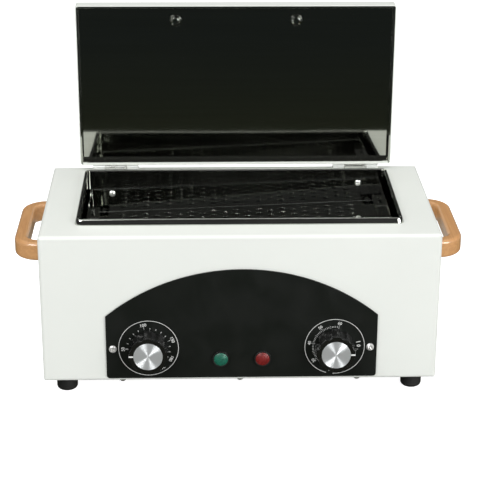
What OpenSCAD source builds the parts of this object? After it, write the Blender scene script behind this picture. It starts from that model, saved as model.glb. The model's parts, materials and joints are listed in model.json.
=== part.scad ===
// Small dry heat sterilizer: a folded steel housing round a stainless
// chamber, with a hinged lid, a perforated tray, two rotary controls on an
// arched panel, two pilot lamps and wooden handles. The lid stands open.
// Millimetres. +X is right, +Y is back, +Z is up, and the origin is on the
// standing surface under the middle of the outline.

/* [Chamber] */
// Inside width of the chamber
chamber_w = 249; // [230:1:270]
// Inside length of the chamber, front to back
chamber_l = 112.2; // [104:0.1:124]
// Depth of the chamber floor below the housing's top
chamber_depth = 58.3; // [52:0.1:66]
// Thickness of the chamber's stainless sheet
liner_t = 1; // [0.8:0.1:1.2]
// Radius inside the chamber's corners
chamber_corner_r = 2; // [1:0.1:4]
// Height of the chamber's collar above the housing's top
collar_h = 4.4; // [4:0.1:6]
// Thickness of the collar's folded hem
hem_t = 1; // [0.8:0.1:1.2]

/* [Housing] */
// From the chamber's inside to the housing's side
side_margin = 30.5; // [28:0.5:40]
// From the housing's front to the chamber's inside
front_margin = 27; // [25:0.5:34]
// From the chamber's inside to the housing's back
back_margin = 22.8; // [22:0.1:30]
// Height of the space under the chamber floor, for heater and controls
machine_space_h = 64; // [62:0.5:74]
// Thickness of the housing's painted sheet
sheet_t = 1; // [0.8:0.1:1.2]
// Outside radius of the housing's bends
bend_r = 2.5; // [1.5:0.1:3.5]
// Width of the flanges turned in at the bottom and the back
flange_w = 12; // [11:0.5:14]
// Clearance round the chamber in the housing's top
top_cutout_gap = 0.3; // [0.2:0.1:0.5]

/* [Base and back] */
// Thickness of the base plate and of the rear panel
cover_t = 1; // [0.8:0.1:1.5]
// How far both covers stay inside the housing's edges
cover_inset = 4; // [3.5:0.1:5]
// Height of a rubber foot
foot_h = 12.4; // [10:0.1:16]
// Radius of a foot at its top
foot_r = 8.3; // [7.5:0.1:10]
// Radius round the foot's lower edge
foot_edge_r = 3; // [2:0.1:4]
// Clearance between a foot's nut and the flange at the housing's side
foot_side_gap = 1.2; // [0.4:0.1:6]
// Clearance between a foot's nut and the flange at front or back
foot_front_gap = 0.4; // [0.4:0.1:6]

/* [Tray] */
// Clearance between tray and chamber at each end
tray_end_gap = 3; // [2:0.1:5]
// Clearance between tray and chamber at front and back
tray_side_gap = 0.8; // [0.6:0.1:2]
// Height of the tray's walls
tray_h = 21; // [16:0.5:24]
// Thickness of the tray's sheet
tray_t = 0.8; // [0.6:0.1:1]
// Height of the tray's low end above the chamber floor
tray_raise = 25.2; // [18:0.1:26]
// Tilt of the tray, its right end being the higher one
tray_tilt = 2.3; // [0:0.1:2.5]
// Diameter of the holes in the tray's floor
hole_d = 4.8; // [3:0.1:6]
// Spacing of the holes along the tray
hole_pitch_x = 9.6; // [8:0.1:14]
// Spacing of the holes across the tray
hole_pitch_y = 9.8; // [8:0.1:14]
// Plain border at each end of the tray's floor
hole_end_margin = 24; // [16:1:40]
// Plain border at front and back of the tray's floor
hole_side_margin = 9; // [7:0.5:16]
// Reach of the lifting lugs inwards from the tray's ends
lug_reach = 10; // [8:0.5:14]
// Width of the lifting lugs
lug_w = 25; // [18:0.5:34]
// Width of the channels that the tray rests on
rest_w = 14; // [10:0.5:20]

/* [Lid] */
// How far the lid reaches over the collar at each side
lid_side_cover = 5.5; // [4.5:0.1:8]
// How far the lid reaches over the collar at the front
lid_front_cover = 10.5; // [6:0.1:14]
// Thickness of the whole lid
lid_t = 14; // [13:0.5:18]
// Thickness of the lid's outer sheet
lid_sheet_t = 1; // [0.8:0.1:1.2]
// Outside radius of the lid's bends
lid_bend_r = 2.5; // [1.5:0.1:3.5]
// Depth of the polished recess in the lid
recess_depth = 8.5; // [8:0.1:9.5]
// Thickness of the polished recessed sheet
recess_t = 0.8; // [0.6:0.1:1]
// Width of the rim round the recess, outer sheet included
rim_w = 2.4; // [2.2:0.1:4]
// Gap between the closed lid's rim and the housing's top
lid_rest_gap = 0.3; // [0.3:0.1:1]

/* [Hinges] */
// Distance of each hinge's middle from the lid's nearer end
hinge_end = 30; // [24:0.5:60]
// From the housing's back to the hinge line
hinge_inset = 7.5; // [7:0.1:9]
// Length of a hinge
hinge_len = 38.5; // [30:0.5:50]
// Length of the middle knuckle
knuckle_mid = 18.4; // [12:0.1:24]
// Outside radius of the knuckles
knuckle_r = 2; // [1.8:0.1:2.4]
// Radius of the hinge pin
hinge_pin_r = 1.1; // [0.9:0.1:1.2]
// Thickness of the hinge leaves
leaf_t = 1; // [0.8:0.1:1.2]
// Gap between a knuckle and the other side's sheet
knuckle_gap = 0.3; // [0.3:0.1:0.6]
// Play between neighbouring knuckles, end to end
knuckle_play = 0.4; // [0.3:0.1:0.8]

/* [Handles] */
// Reach of the side handles from the housing
side_handle_reach = 23; // [21:0.5:32]
// Length of the side handles
side_handle_len = 98; // [80:1:120]
// Depth of the side handles' middle below the housing's top
side_handle_drop = 25.6; // [22:0.1:40]
// Reach of the lid handle from the lid
lid_handle_reach = 26; // [22:0.5:34]
// Spacing of the lid handle's screws
lid_handle_pitch = 100; // [80:1:130]
// From the lid's free edge to the handle's middle
lid_handle_inset = 14.5; // [12:0.5:30]
// Thickness of the handles' wood
grip_t = 10.5; // [8:0.5:12]
// Height of the handles' wood
grip_h = 15; // [12:0.5:18]
// Radius along the wood's edges
grip_edge_r = 3; // [2:0.1:3.8]
// Outer radius of the bow's corners
bow_r = 20; // [16:0.5:21]

/* [Control panel] */
// Width of the control panel
panel_w = 212.4; // [200:0.1:230]
// Radius of the panel's arched top edge
arch_r = 164; // [150:1:220]
// Height of the arch's top above the housing's underside
arch_top = 94.9; // [85:0.1:105]
// Height of the panel's lower edge above the underside
panel_bottom = 2.8; // [2.8:0.1:5]
// Thickness of the panel
panel_t = 1.2; // [1:0.1:2]
// Radius of the panel's lower corners
panel_corner_r = 2.5; // [1:0.1:5]
// Offset of the panel's middle from the housing's middle
panel_x = 1.1; // [-2:0.1:2]
// Distance of each dial from the panel's nearer end
dial_inset = 33.2; // [30:0.1:38]
// Height of the dials and knobs above the underside
dial_z = 28.8; // [27:0.1:29]
// Distance of each pilot lamp from the panel's middle
lamp_x = 16.4; // [12:0.1:24]
// Height of the pilot lamps above the underside
lamp_z = 19.2; // [14:0.1:26]
// Distance of each panel screw from the panel's nearer end
panel_screw_inset = 5.3; // [4.2:0.1:8]
// Height of the panel screws above the underside
panel_screw_z = 28.4; // [24:0.1:34]

/* [Knobs] */
// Radius of a knob at its foot
knob_r = 15.7; // [15:0.1:17]
// Radius of a knob at its face
knob_face_r = 14.9; // [14:0.1:15]
// Length of a knob
knob_l = 14.8; // [13:0.1:18]
// Number of flutes round a knob
flutes = 8; // [6:1:12]
// Depth of the flutes
flute_depth = 1.6; // [0.8:0.1:2]
// Width of a flute
flute_w = 7.8; // [5:0.1:8]
// Radius of the metal cap in a knob's face
cap_r = 11.3; // [9:0.1:12]
// Radius of a control's spindle
spindle_r = 3; // [2.5:0.1:3.2]
// Gap between a knob and the panel
knob_gap = 0.8; // [0.5:0.1:1.5]

/* [Pilot lamps] */
// Radius of a lamp's bezel
bezel_r = 6.5; // [6:0.1:7.5]
// Radius of a lamp's lens
lens_r = 5.5; // [4.8:0.1:5.6]
// Height of a lens above the panel
lens_h = 3.4; // [2.6:0.1:5]

/* [Heater and insulation] */
// Radius of the tubular heater
heater_r = 3.3; // [2.5:0.1:3.6]
// From the heater's bend to the chamber's end wall
heater_bend_gap = 16.2; // [10:0.1:40]
// From the start of the heater's legs to the chamber's other end wall
heater_start_gap = 49.5; // [40:0.5:70]
// Spacing of the heater's two legs
heater_pitch = 60; // [40:1:66]
// Thickness of the mineral wool round the chamber
wool_t = 12; // [8:0.5:13]
// Thickness of the mineral wool under the heater
wool_base_t = 6; // [4:0.5:6.5]

/* [Power inlet] */
// Distance of the inlet's middle from the housing's side
inlet_side = 50; // [40:0.5:80]
// Height of the inlet above the underside
inlet_z = 32; // [27:0.5:45]
// Width of the inlet's flange
inlet_flange_w = 49; // [47:0.5:52]
// Height of the inlet's flange
inlet_flange_h = 24; // [23:0.5:28]

/* [Hidden] */

$fn = 64;
seat_gap = 0.1;
running_fit = 0.05;

// Housing
body_w = chamber_w + 2 * side_margin;
body_d = front_margin + chamber_l + back_margin;
body_h = machine_space_h + chamber_depth;
stand_h = foot_h + cover_t;
side_wall_x = body_w / 2;

// Chamber
liner_w = chamber_w + 2 * liner_t;
liner_l = chamber_l + 2 * liner_t;
chamber_mid_y = front_margin + chamber_l / 2;
liner_under_z = machine_space_h - liner_t;
collar_t = liner_t + hem_t;
collar_w = chamber_w + 2 * collar_t;
collar_l = chamber_l + 2 * collar_t;

// Hinge line, seen with the lid standing open
hinge_y = body_d - hinge_inset;
hinge_z = body_h + knuckle_r + knuckle_gap;
lid_edge_z = hinge_z + knuckle_r + knuckle_gap;
rim_y = hinge_y - (hinge_z - body_h - lid_rest_gap);

// Lid
lid_w = collar_w + 2 * lid_side_cover;
lid_closed_back = hinge_y - (lid_edge_z - hinge_z);
lid_d = lid_closed_back - (front_margin - collar_t - lid_front_cover);
lid_rim_inner_w = lid_w - 2 * rim_w;
hinge_x = lid_w / 2 - hinge_end;
lid_handle_z = lid_d - lid_handle_inset;
lid_handle_len = lid_handle_pitch + grip_t;

// Middle of the whole outline, front to back
knob_face_y = panel_t + knob_gap + knob_l;
cap_proud = 0.2;
front_reach = knob_face_y + cap_proud;
back_reach = rim_y + lid_t + lid_handle_reach;
frame_y = (back_reach - front_reach) / 2;

// Tray
tray_w = chamber_w - 2 * tray_end_gap;
tray_l = chamber_l - 2 * tray_side_gap;
tray_low_z = machine_space_h + tray_raise;
tray_low_x = -tray_w / 2;
hole_cols = 2 * floor((tray_w / 2 - hole_end_margin) / hole_pitch_x) + 1;
hole_rows = floor((tray_l - 2 * hole_side_margin) / hole_pitch_y) + 1;
lug_lip = 3;
lug_slot_w = 12;
lug_slot_l = 3;
tray_rivet_r = 2.6;
tray_rivet_inset = 17.5;
tray_rivet_shank_r = 1.2;
tray_rivet_drop = 4;
rest_inset = 19;
rest_end_gap = 3;
rest_len = tray_l - 2 * rest_end_gap;
rest_sheet = 1;

// Fasteners
small_head_r = 3;
small_head_h = 1.8;
small_shank_r = 1.5;
thread_tail = 3;
base_screw_inset = 62;
flange_mid = flange_w / 2 + 1;
rear_screw_inset = flange_w - 3;
head_bevel_start = 0.45;
head_bevel_r = 0.68;
hole_play = 0.1;
handle_head_r = 4;
handle_head_h = 2.4;
handle_shank_r = 2;
handle_screw_depth = 12;
washer_r = 5;
washer_t = 1;
foot_shank_r = 2;
foot_head_r = 3.6;
foot_head_h = 2.4;
foot_recess = 5;
foot_head_gap = 0.3;
foot_nut_r = 4;
foot_nut_h = 3.2;
foot_thread_tail = 2;
foot_inset_x = flange_w + foot_nut_r + foot_side_gap;
foot_inset_y = flange_w + foot_nut_r + foot_front_gap;

// Controls
dial_x = panel_w / 2 - dial_inset;
panel_screw_x = panel_w / 2 - panel_screw_inset;
bush_r = 5;
bush_proud = 3;
bush_reach = panel_t + bush_proud;
nut_across_r = 7.5;
nut_t = 2.5;
nut_corners = 6;
control_bore_depth = 7.5;
spindle_in = 7;
spindle_end_gap = 3;
spindle_out = knob_l - spindle_end_gap;
knob_hollow_r = 9.5;
knob_hollow_l = 4.2;
cap_t = 1;
plate_w = 40;
plate_h = 34;
plate_t = 1.2;
thermostat_w = 34;
thermostat_h = 28;
thermostat_l = 24;
bellows_r = 11;
bellows_l = 5;
timer_r = 17;
timer_l = 28;
blade_w = 6.3;
blade_t = 0.8;
blade_l = 8;
blade_edge = 0.5;
blade_rise = 2;
case_corner_r = 3;
bulb_r = 3;
bulb_l = 86;
capillary_r = 0.8;
capillary_bend_r = 5;
capillary_hole_gap = 0.7;
bulb_y = chamber_mid_y - 11;
bulb_z = liner_under_z - bulb_r - seat_gap;
cutout_r = 7.5;
cutout_l = 5.2;
cutout_inset = 35;
cutout_side = 12;
cutout_ear_w = 24;
cutout_ear_h = 6;
cutout_ear_t = 0.8;
lamp_barrel_r = 4.4;
lamp_l = 20;
lamp_blade_w = 2.8;
lamp_blade_l = 6;
lamp_blade_y = 2.2;
lamp_nut_r = 6.8;
lamp_nut_t = 2.5;
bezel_h = 1.6;
lens_seat = 1;

// Heater and insulation
heater_z = liner_under_z - heater_r - seat_gap;
heater_start_x = -(chamber_w / 2 - heater_start_gap);
heater_bend_x = chamber_w / 2 - heater_bend_gap - heater_r - heater_pitch / 2;
heater_leg = heater_bend_x - heater_start_x;
clip_t = 1;
clip_w = 12;
clip_slack = 2;
clip_inset = 19;
clip_flange = 9;
clip_top_z = heater_z - heater_r - seat_gap;
bulb_clip_gap = 0.1;
bulb_start_x = heater_start_x + clip_inset + clip_w / 2 + bulb_clip_gap;
wool_base_top = clip_top_z - clip_t;
wool_base_bottom = wool_base_top - wool_base_t;
wool_top_gap = 6;
wool_top = body_h - wool_top_gap;
terminal_r = heater_r - 0.5;
terminal_l = 9;
terminal_pin_r = 1.5;
terminal_pin_l = 8;

// Hinge leaves and their fasteners
base_leaf_l = 6;
lid_leaf_l = 9.5;
base_screw_y = 4;
base_screw_x = 14;
rivet_x = 5;
rivet_y = 6;
rivet_head_r = 2.5;
rivet_head_h = 2.3;
rivet_shank_r = 1.25;
hinge_screw_r = 1.2;
hinge_head_r = 1.8;
hinge_head_h = 1.1;
hinge_screw_l = 4;
rivet_head_ball_r = 3;
rivet_tail_r = 1.9;
rivet_tail_t = 0.7;

// Inlet
inlet_x = side_wall_x - inlet_side;
inlet_flange_t = 3;
inlet_corner_r = 3;
inlet_body_w = 27.6;
inlet_body_h = 19.8;
inlet_body_l = 17;
socket_w = 24.4;
socket_h = 16.4;
socket_chamfer = 4;
socket_depth = 16;
inlet_pitch = 40;
pin_w = 4;
pin_t = 2;
pin_l = 11;
pin_tail = 8;
pin_spread = 7;
pin_rise = 2.2;
earth_drop = 2.2;
pin_overlap = inlet_body_l + inlet_flange_t - socket_depth;

// Local frames. Local +Z points out of the named face, local +Y points up.
module in_frame() { translate([0, -frame_y, stand_h]) children(); }
module facing_front() { rotate([90, 0, 0]) children(); }
module facing_back() { rotate([90, 0, 180]) children(); }
module facing_right() { rotate([90, 0, 90]) children(); }
module facing_left() { rotate([90, 0, -90]) children(); }
module on_panel(x, z) { facing_front() translate([panel_x + x, z, 0]) children(); }
module in_lid() { translate([0, rim_y, lid_edge_z]) children(); }

// Flat outline with rounded corners, its middle at the origin
module rounded_rect(w, h, r) {
    square([w - 2 * r, h], center = true);
    square([w, h - 2 * r], center = true);
    for (x = [-1, 1], y = [-1, 1]) {
        translate([x * (w / 2 - r), y * (h / 2 - r)]) circle(r);
    }
}

// Solid block with every edge rounded, standing on z = 0, its front at y = 0
module folded_block(w, d, h, r) {
    intersection() {
        translate([0, d / 2, 0]) linear_extrude(h) rounded_rect(w, d, r);
        translate([0, d, h / 2]) facing_front() linear_extrude(d) rounded_rect(w, h, r);
        translate([-w / 2, d / 2, h / 2]) facing_right() linear_extrude(w) rounded_rect(d, h, r);
    }
}

// Screw with a bevelled pan head. Its seat is z = 0 and its shank points down.
module pan_screw(head_r, head_h, shank_r, shank_l) {
    rotate_extrude() polygon([
        [0, -shank_l], [shank_r, -shank_l], [shank_r, 0], [head_r, 0],
        [head_r, head_h * head_bevel_start], [head_r * head_bevel_r, head_h], [0, head_h]
    ]);
}

module hex_nut(across_r, h, bore_r) {
    difference() {
        cylinder(r = across_r, h = h, $fn = nut_corners);
        translate([0, 0, -1]) cylinder(r = bore_r, h = h + 2);
    }
}

// Places of the repeated parts
function foot_places() = [
    for (x = [-1, 1], y = [foot_inset_y, body_d - foot_inset_y])
        [x * (side_wall_x - foot_inset_x), y]
];
function base_screw_places() = [
    for (x = [-1, 0, 1], y = [flange_mid, body_d - flange_mid])
        [x * (side_wall_x - base_screw_inset), y]
];
function rear_screw_places() = [
    for (x = [-1, 0, 1], z = [rear_screw_inset, body_h - rear_screw_inset])
        [x * (side_wall_x - rear_screw_inset), z]
];

// The folded, painted housing, with its bottom and back left open inside
// the turned-in flanges
module housing() {
    color("whitesmoke") in_frame() difference() {
        folded_block(body_w, body_d, body_h, bend_r);
        translate([0, sheet_t, sheet_t])
            folded_block(body_w - 2 * sheet_t, body_d - 2 * sheet_t, body_h - 2 * sheet_t,
                bend_r - sheet_t);
        housing_top_opening();
        housing_bottom_opening();
        housing_back_opening();
        housing_front_holes();
        housing_side_holes();
        hinge_screw_holes();
        for (p = base_screw_places()) {
            translate([p[0], p[1], -1]) cylinder(r = small_shank_r, h = sheet_t + 2);
        }
        for (p = rear_screw_places()) {
            translate([p[0], body_d + 1, p[1]]) facing_front()
                cylinder(r = small_shank_r, h = sheet_t + 2);
        }
    }
}

module housing_top_opening() {
    translate([0, chamber_mid_y, body_h - sheet_t - 1])
        linear_extrude(sheet_t + 2)
            rounded_rect(liner_w + 2 * top_cutout_gap, liner_l + 2 * top_cutout_gap,
                chamber_corner_r + liner_t);
}

module housing_bottom_opening() {
    translate([0, body_d / 2, -1]) linear_extrude(sheet_t + 2)
        rounded_rect(body_w - 2 * flange_w, body_d - 2 * flange_w, bend_r);
}

module housing_back_opening() {
    translate([0, body_d + 1, body_h / 2]) facing_front() linear_extrude(sheet_t + 2)
        rounded_rect(body_w - 2 * flange_w, body_h - 2 * flange_w, bend_r);
}

// Holes for the controls, lamps and panel screws
module panel_holes(depth) {
    for (x = [-1, 1]) {
        on_panel(x * dial_x, dial_z) translate([0, 0, -depth])
            cylinder(r = bush_r + hole_play, h = 2 * depth);
        on_panel(x * lamp_x, lamp_z) translate([0, 0, -depth])
            cylinder(r = lamp_barrel_r + hole_play, h = 2 * depth);
        on_panel(x * panel_screw_x, panel_screw_z) translate([0, 0, -depth])
            cylinder(r = small_shank_r, h = 2 * depth);
    }
}

module housing_front_holes() { panel_holes(sheet_t + 1); }

module side_screw_places() {
    for (y = [-1, 1]) {
        translate([0, body_d / 2 + y * (side_handle_len - grip_t) / 2, body_h - side_handle_drop])
            children();
    }
}

module housing_side_holes() {
    side_screw_places() translate([-side_wall_x - 1, 0, 0]) rotate([0, 90, 0])
        cylinder(r = handle_shank_r + hole_play, h = body_w + 2);
}

module base_plate() {
    color("gainsboro") in_frame() difference() {
        translate([0, body_d / 2, -cover_t]) linear_extrude(cover_t)
            rounded_rect(body_w - 2 * cover_inset, body_d - 2 * cover_inset, bend_r);
        for (p = base_screw_places()) {
            translate([p[0], p[1], -cover_t - 1])
                cylinder(r = small_shank_r + hole_play, h = cover_t + 2);
        }
        for (p = foot_places()) {
            translate([p[0], p[1], -cover_t - 1])
                cylinder(r = foot_shank_r + hole_play, h = cover_t + 2);
        }
    }
}

module base_screws() {
    color("silver") in_frame() for (p = base_screw_places()) {
        translate([p[0], p[1], -cover_t]) mirror([0, 0, 1])
            pan_screw(small_head_r, small_head_h, small_shank_r, cover_t + sheet_t + thread_tail);
    }
}

module rear_panel() {
    color("whitesmoke") in_frame() difference() {
        translate([0, body_d, body_h / 2]) facing_back() linear_extrude(cover_t)
            rounded_rect(body_w - 2 * cover_inset, body_h - 2 * cover_inset, bend_r);
        for (p = rear_screw_places()) {
            translate([p[0], body_d + cover_t + 1, p[1]]) facing_front()
                cylinder(r = small_shank_r + hole_play, h = cover_t + 2);
        }
        at_inlet() translate([0, 0, -1]) linear_extrude(cover_t + 2)
            square([inlet_body_w + 2 * hole_play, inlet_body_h + 2 * hole_play], center = true);
        at_inlet() for (x = [-1, 1]) {
            translate([x * inlet_pitch / 2, 0, -1]) cylinder(r = small_shank_r, h = cover_t + 2);
        }
    }
}

module rear_panel_screws() {
    color("silver") in_frame() for (p = rear_screw_places()) {
        translate([p[0], body_d + cover_t, p[1]]) facing_back()
            pan_screw(small_head_r, small_head_h, small_shank_r, cover_t + sheet_t + thread_tail);
    }
}

// One rubber foot, hollow below for its screw
module foot(i) {
    p = foot_places()[i];
    color("#1c1c1c") in_frame() translate([p[0], p[1], -cover_t - foot_h]) difference() {
        rotate_extrude() {
            square([foot_r - foot_edge_r, foot_h]);
            translate([0, foot_edge_r]) square([foot_r, foot_h - foot_edge_r]);
            translate([foot_r - foot_edge_r, foot_edge_r]) circle(foot_edge_r);
        }
        translate([0, 0, -1]) cylinder(r = foot_head_r + foot_head_gap, h = foot_recess + 1);
        cylinder(r = foot_shank_r + hole_play, h = foot_h + 1);
    }
}

module foot_front_left() { foot(0); }
module foot_rear_left() { foot(1); }
module foot_front_right() { foot(2); }
module foot_rear_right() { foot(3); }

module foot_screws() {
    color("silver") in_frame() for (p = foot_places()) {
        translate([p[0], p[1], -cover_t - foot_h + foot_recess]) mirror([0, 0, 1])
            pan_screw(foot_head_r, foot_head_h, foot_shank_r,
                foot_h - foot_recess + cover_t + foot_nut_h + foot_thread_tail);
    }
}

// The front nuts stand on the base plate, inside the housing's flanges
module foot_nuts() {
    color("silver") in_frame() for (p = foot_places()) {
        translate([p[0], p[1], 0]) hex_nut(foot_nut_r, foot_nut_h, foot_shank_r);
    }
}

// Outer skin of the chamber pan, with rounded lower edges
module chamber_pan(grow) {
    r = chamber_corner_r + grow;
    w = chamber_w + 2 * grow;
    l = chamber_l + 2 * grow;
    pan_h = chamber_depth + grow + 2 * r;
    intersection() {
        translate([0, chamber_mid_y - l / 2, machine_space_h - grow])
            folded_block(w, l, pan_h, r);
        translate([-w, 0, 0]) cube([2 * w, 2 * body_d, body_h]);
    }
}

// Rounded top of the collar, followed round its four sides and corners
module collar_roll(r) {
    w = chamber_w / 2 + collar_t / 2;
    l = chamber_l / 2 + collar_t / 2;
    c = chamber_corner_r + collar_t / 2;
    for (y = [-1, 1]) {
        translate([-w + c, y * l, 0]) rotate([0, 90, 0]) cylinder(r = r, h = 2 * (w - c));
    }
    for (x = [-1, 1]) {
        translate([x * w, l - c, 0]) rotate([90, 0, 0]) cylinder(r = r, h = 2 * (l - c));
    }
    for (x = [0, 1], y = [0, 1]) {
        mirror([x, 0, 0]) mirror([0, y, 0]) translate([w - c, l - c, 0])
            rotate_extrude(angle = 90) translate([c, 0]) circle(r);
    }
}

// Stainless chamber: a deep pan whose edge is hemmed outwards into a collar
module chamber_liner() {
    color("silver") in_frame() difference() {
        union() {
            chamber_pan(liner_t);
            translate([0, chamber_mid_y, body_h]) {
                linear_extrude(collar_h - collar_t / 2)
                    rounded_rect(collar_w, collar_l, chamber_corner_r + collar_t);
                translate([0, 0, collar_h - collar_t / 2]) collar_roll(collar_t / 2);
            }
        }
        chamber_pan(0);
        translate([0, chamber_mid_y, body_h - 1]) linear_extrude(collar_h + 2)
            rounded_rect(chamber_w, chamber_l, chamber_corner_r);
    }
}

// Two folded channels on the chamber floor, each up to the tray above it
module tray_rests() {
    color("silver") in_frame() for (s = [-1, 1]) {
        x = s * (tray_w / 2 - rest_inset);
        h = tray_raise + (x - rest_w / 2 - tray_low_x) * tan(tray_tilt) - seat_gap;
        translate([x - rest_w / 2, chamber_mid_y - rest_len / 2, machine_space_h]) difference() {
            cube([rest_w, rest_len, h]);
            translate([rest_sheet, -1, -1])
                cube([rest_w - 2 * rest_sheet, rest_len + 2, h - rest_sheet + 1]);
        }
    }
}

// The tray's own frame: its low lower edge is the Y axis, and it rises to +X
module in_tray() {
    translate([tray_low_x, chamber_mid_y, tray_low_z]) rotate([0, -tray_tilt, 0]) children();
}

module tray_shell() {
    difference() {
        translate([0, -tray_l / 2, 0]) cube([tray_w, tray_l, tray_h]);
        translate([tray_t, tray_t - tray_l / 2, tray_t])
            cube([tray_w - 2 * tray_t, tray_l - 2 * tray_t, tray_h]);
    }
}

// A lug is the end wall's tab, folded in and then down, with a slot for a hook
module tray_lug() {
    difference() {
        union() {
            translate([0, -lug_w / 2, tray_h - tray_t]) cube([lug_reach, lug_w, tray_t]);
            translate([lug_reach - tray_t, -lug_w / 2, tray_h - lug_lip])
                cube([tray_t, lug_w, lug_lip]);
        }
        translate([lug_reach / 2 - lug_slot_l / 2, -lug_slot_w / 2, tray_h - tray_t - 1])
            cube([lug_slot_l, lug_slot_w, tray_t + 2]);
    }
}

module tray_holes() {
    for (i = [0 : hole_cols - 1]) {
        shift = i % 2 == 0 ? 0 : 1;
        for (j = [0 : hole_rows - 1 - shift]) {
            translate([
                tray_w / 2 + (i - (hole_cols - 1) / 2) * hole_pitch_x,
                (j - (hole_rows - 1 - shift) / 2) * hole_pitch_y,
                -1
            ]) cylinder(d = hole_d, h = tray_t + 2, $fn = 16);
        }
    }
}

module tray_rivet_places() {
    for (s = [-1, 1]) {
        translate([tray_w / 2 + s * (tray_w / 2 - tray_rivet_inset), tray_l / 2 - tray_t,
            tray_h - tray_rivet_drop])
            rotate([90, 0, 0]) children();
    }
}

module tray() {
    color("silver") in_frame() in_tray() difference() {
        union() {
            tray_shell();
            tray_lug();
            translate([tray_w, 0, 0]) mirror([1, 0, 0]) tray_lug();
        }
        tray_holes();
        tray_rivet_places() translate([0, 0, -tray_t - 1]) cylinder(r = tray_rivet_shank_r, h = tray_t + 2);
    }
}

module tray_rivets() {
    color("silver") in_frame() in_tray() tray_rivet_places() {
        intersection() {
            translate([0, 0, -tray_rivet_r]) sphere(tray_rivet_r * sqrt(2));
            cylinder(r = tray_rivet_r, h = tray_rivet_r);
        }
        translate([0, 0, -tray_t]) cylinder(r = tray_rivet_shank_r, h = tray_t);
    }
}

// Hairpin tube heater under the chamber floor
module heater_element() {
    color("dimgray") in_frame() translate([heater_start_x, chamber_mid_y, heater_z]) {
        for (y = [-1, 1]) {
            translate([0, y * heater_pitch / 2, 0]) rotate([0, 90, 0])
                cylinder(r = heater_r, h = heater_leg);
        }
        translate([heater_leg, 0, 0]) rotate([0, 0, -90]) rotate_extrude(angle = 180)
            translate([heater_pitch / 2, 0]) circle(heater_r);
    }
}

// Ceramic ends with their threaded studs
module heater_terminals() {
    color("ivory") in_frame() for (y = [-1, 1]) {
        translate([heater_start_x, chamber_mid_y + y * heater_pitch / 2, heater_z])
            rotate([0, -90, 0]) {
                cylinder(r = terminal_r, h = terminal_l);
                translate([0, 0, terminal_l])
                    cylinder(r = terminal_pin_r, h = terminal_pin_l);
            }
    }
}

// Top-hat straps that hold the heater up against the chamber floor
module heater_clips() {
    span = heater_pitch + 2 * heater_r + 2 * clip_slack;
    color("silver") in_frame() for (x = [heater_start_x + clip_inset, heater_bend_x - clip_inset]) {
        translate([x - clip_w / 2, chamber_mid_y, 0]) {
            translate([0, -span / 2, clip_top_z - clip_t]) cube([clip_w, span, clip_t]);
            for (y = [-1, 1]) {
                translate([0, y * (span - clip_t) / 2 - clip_t / 2, clip_top_z - clip_t])
                    cube([clip_w, clip_t, liner_under_z - clip_top_z + clip_t]);
                translate([0, y * (span + clip_flange) / 2 - clip_flange / 2 - clip_t / 2,
                    liner_under_z - clip_t])
                    cube([clip_w, clip_flange + clip_t, clip_t]);
            }
        }
    }
}

// Mineral wool: a jacket round the chamber and a pad under the heater
module insulation_wrap() {
    w = liner_w + 2 * wool_t;
    l = liner_l + 2 * wool_t;
    color("khaki") in_frame() difference() {
        translate([-w / 2, chamber_mid_y - l / 2, wool_base_bottom])
            cube([w, l, wool_top - wool_base_bottom]);
        translate([-liner_w / 2, chamber_mid_y - liner_l / 2, wool_base_bottom - 1])
            cube([liner_w, liner_l, wool_top - wool_base_bottom + 2]);
    }
}

module insulation_base() {
    color("khaki") in_frame() difference() {
        translate([-liner_w / 2, chamber_mid_y - liner_l / 2, wool_base_bottom])
            cube([liner_w, liner_l, wool_base_t]);
        translate([panel_x - dial_x, bulb_y, wool_base_bottom - 1])
            cylinder(r = capillary_r + capillary_hole_gap, h = wool_base_t + 2);
    }
}

// Arched plate on the housing's front
module panel_outline() {
    half = panel_w / 2;
    intersection() {
        translate([0, arch_top - arch_r]) circle(arch_r, $fn = 360);
        union() {
            translate([-half, panel_bottom + panel_corner_r])
                square([panel_w, arch_top - panel_bottom]);
            translate([-half + panel_corner_r, panel_bottom])
                square([panel_w - 2 * panel_corner_r, panel_corner_r * 2]);
            for (x = [-1, 1]) {
                translate([x * (half - panel_corner_r), panel_bottom + panel_corner_r])
                    circle(panel_corner_r);
            }
        }
    }
}

module control_panel() {
    color("#1b1c18") in_frame() difference() {
        on_panel(0, 0) linear_extrude(panel_t) panel_outline();
        panel_holes(panel_t + 1);
    }
}

module panel_screws() {
    color("silver") in_frame() for (x = [-1, 1]) {
        on_panel(x * panel_screw_x, panel_screw_z) translate([0, 0, panel_t])
            pan_screw(small_head_r, small_head_h, small_shank_r, panel_t + sheet_t + thread_tail);
    }
}

// What both controls have: a threaded bush through the panel, and its bore
module control_bush() {
    cylinder(r = bush_r, h = bush_reach);
}

module control_bore() {
    translate([0, 0, -control_bore_depth])
        cylinder(r = spindle_r + running_fit, h = control_bore_depth + bush_reach + 1);
}

module blade(x, y, z) {
    translate([x - blade_w / 2, y - blade_t / 2, z - blade_l]) cube([blade_w, blade_t, blade_l]);
}

module thermostat() {
    back = sheet_t + plate_t + thermostat_l;
    color("lightgray") in_frame() on_panel(-dial_x, dial_z) difference() {
        union() {
            translate([0, 0, -sheet_t]) control_bush();
            translate([0, 0, -sheet_t - plate_t]) linear_extrude(plate_t)
                square([plate_w, plate_h], center = true);
            translate([0, 0, -back]) linear_extrude(thermostat_l)
                rounded_rect(thermostat_w, thermostat_h, case_corner_r);
            translate([0, 0, -back - bellows_l]) cylinder(r = bellows_r, h = bellows_l);
            for (x = [-1, 1]) {
                blade(x * (thermostat_w / 2 - blade_w / 2 - blade_edge), -thermostat_h / 2 + blade_rise, -back);
            }
        }
        control_bore();
    }
}

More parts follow.
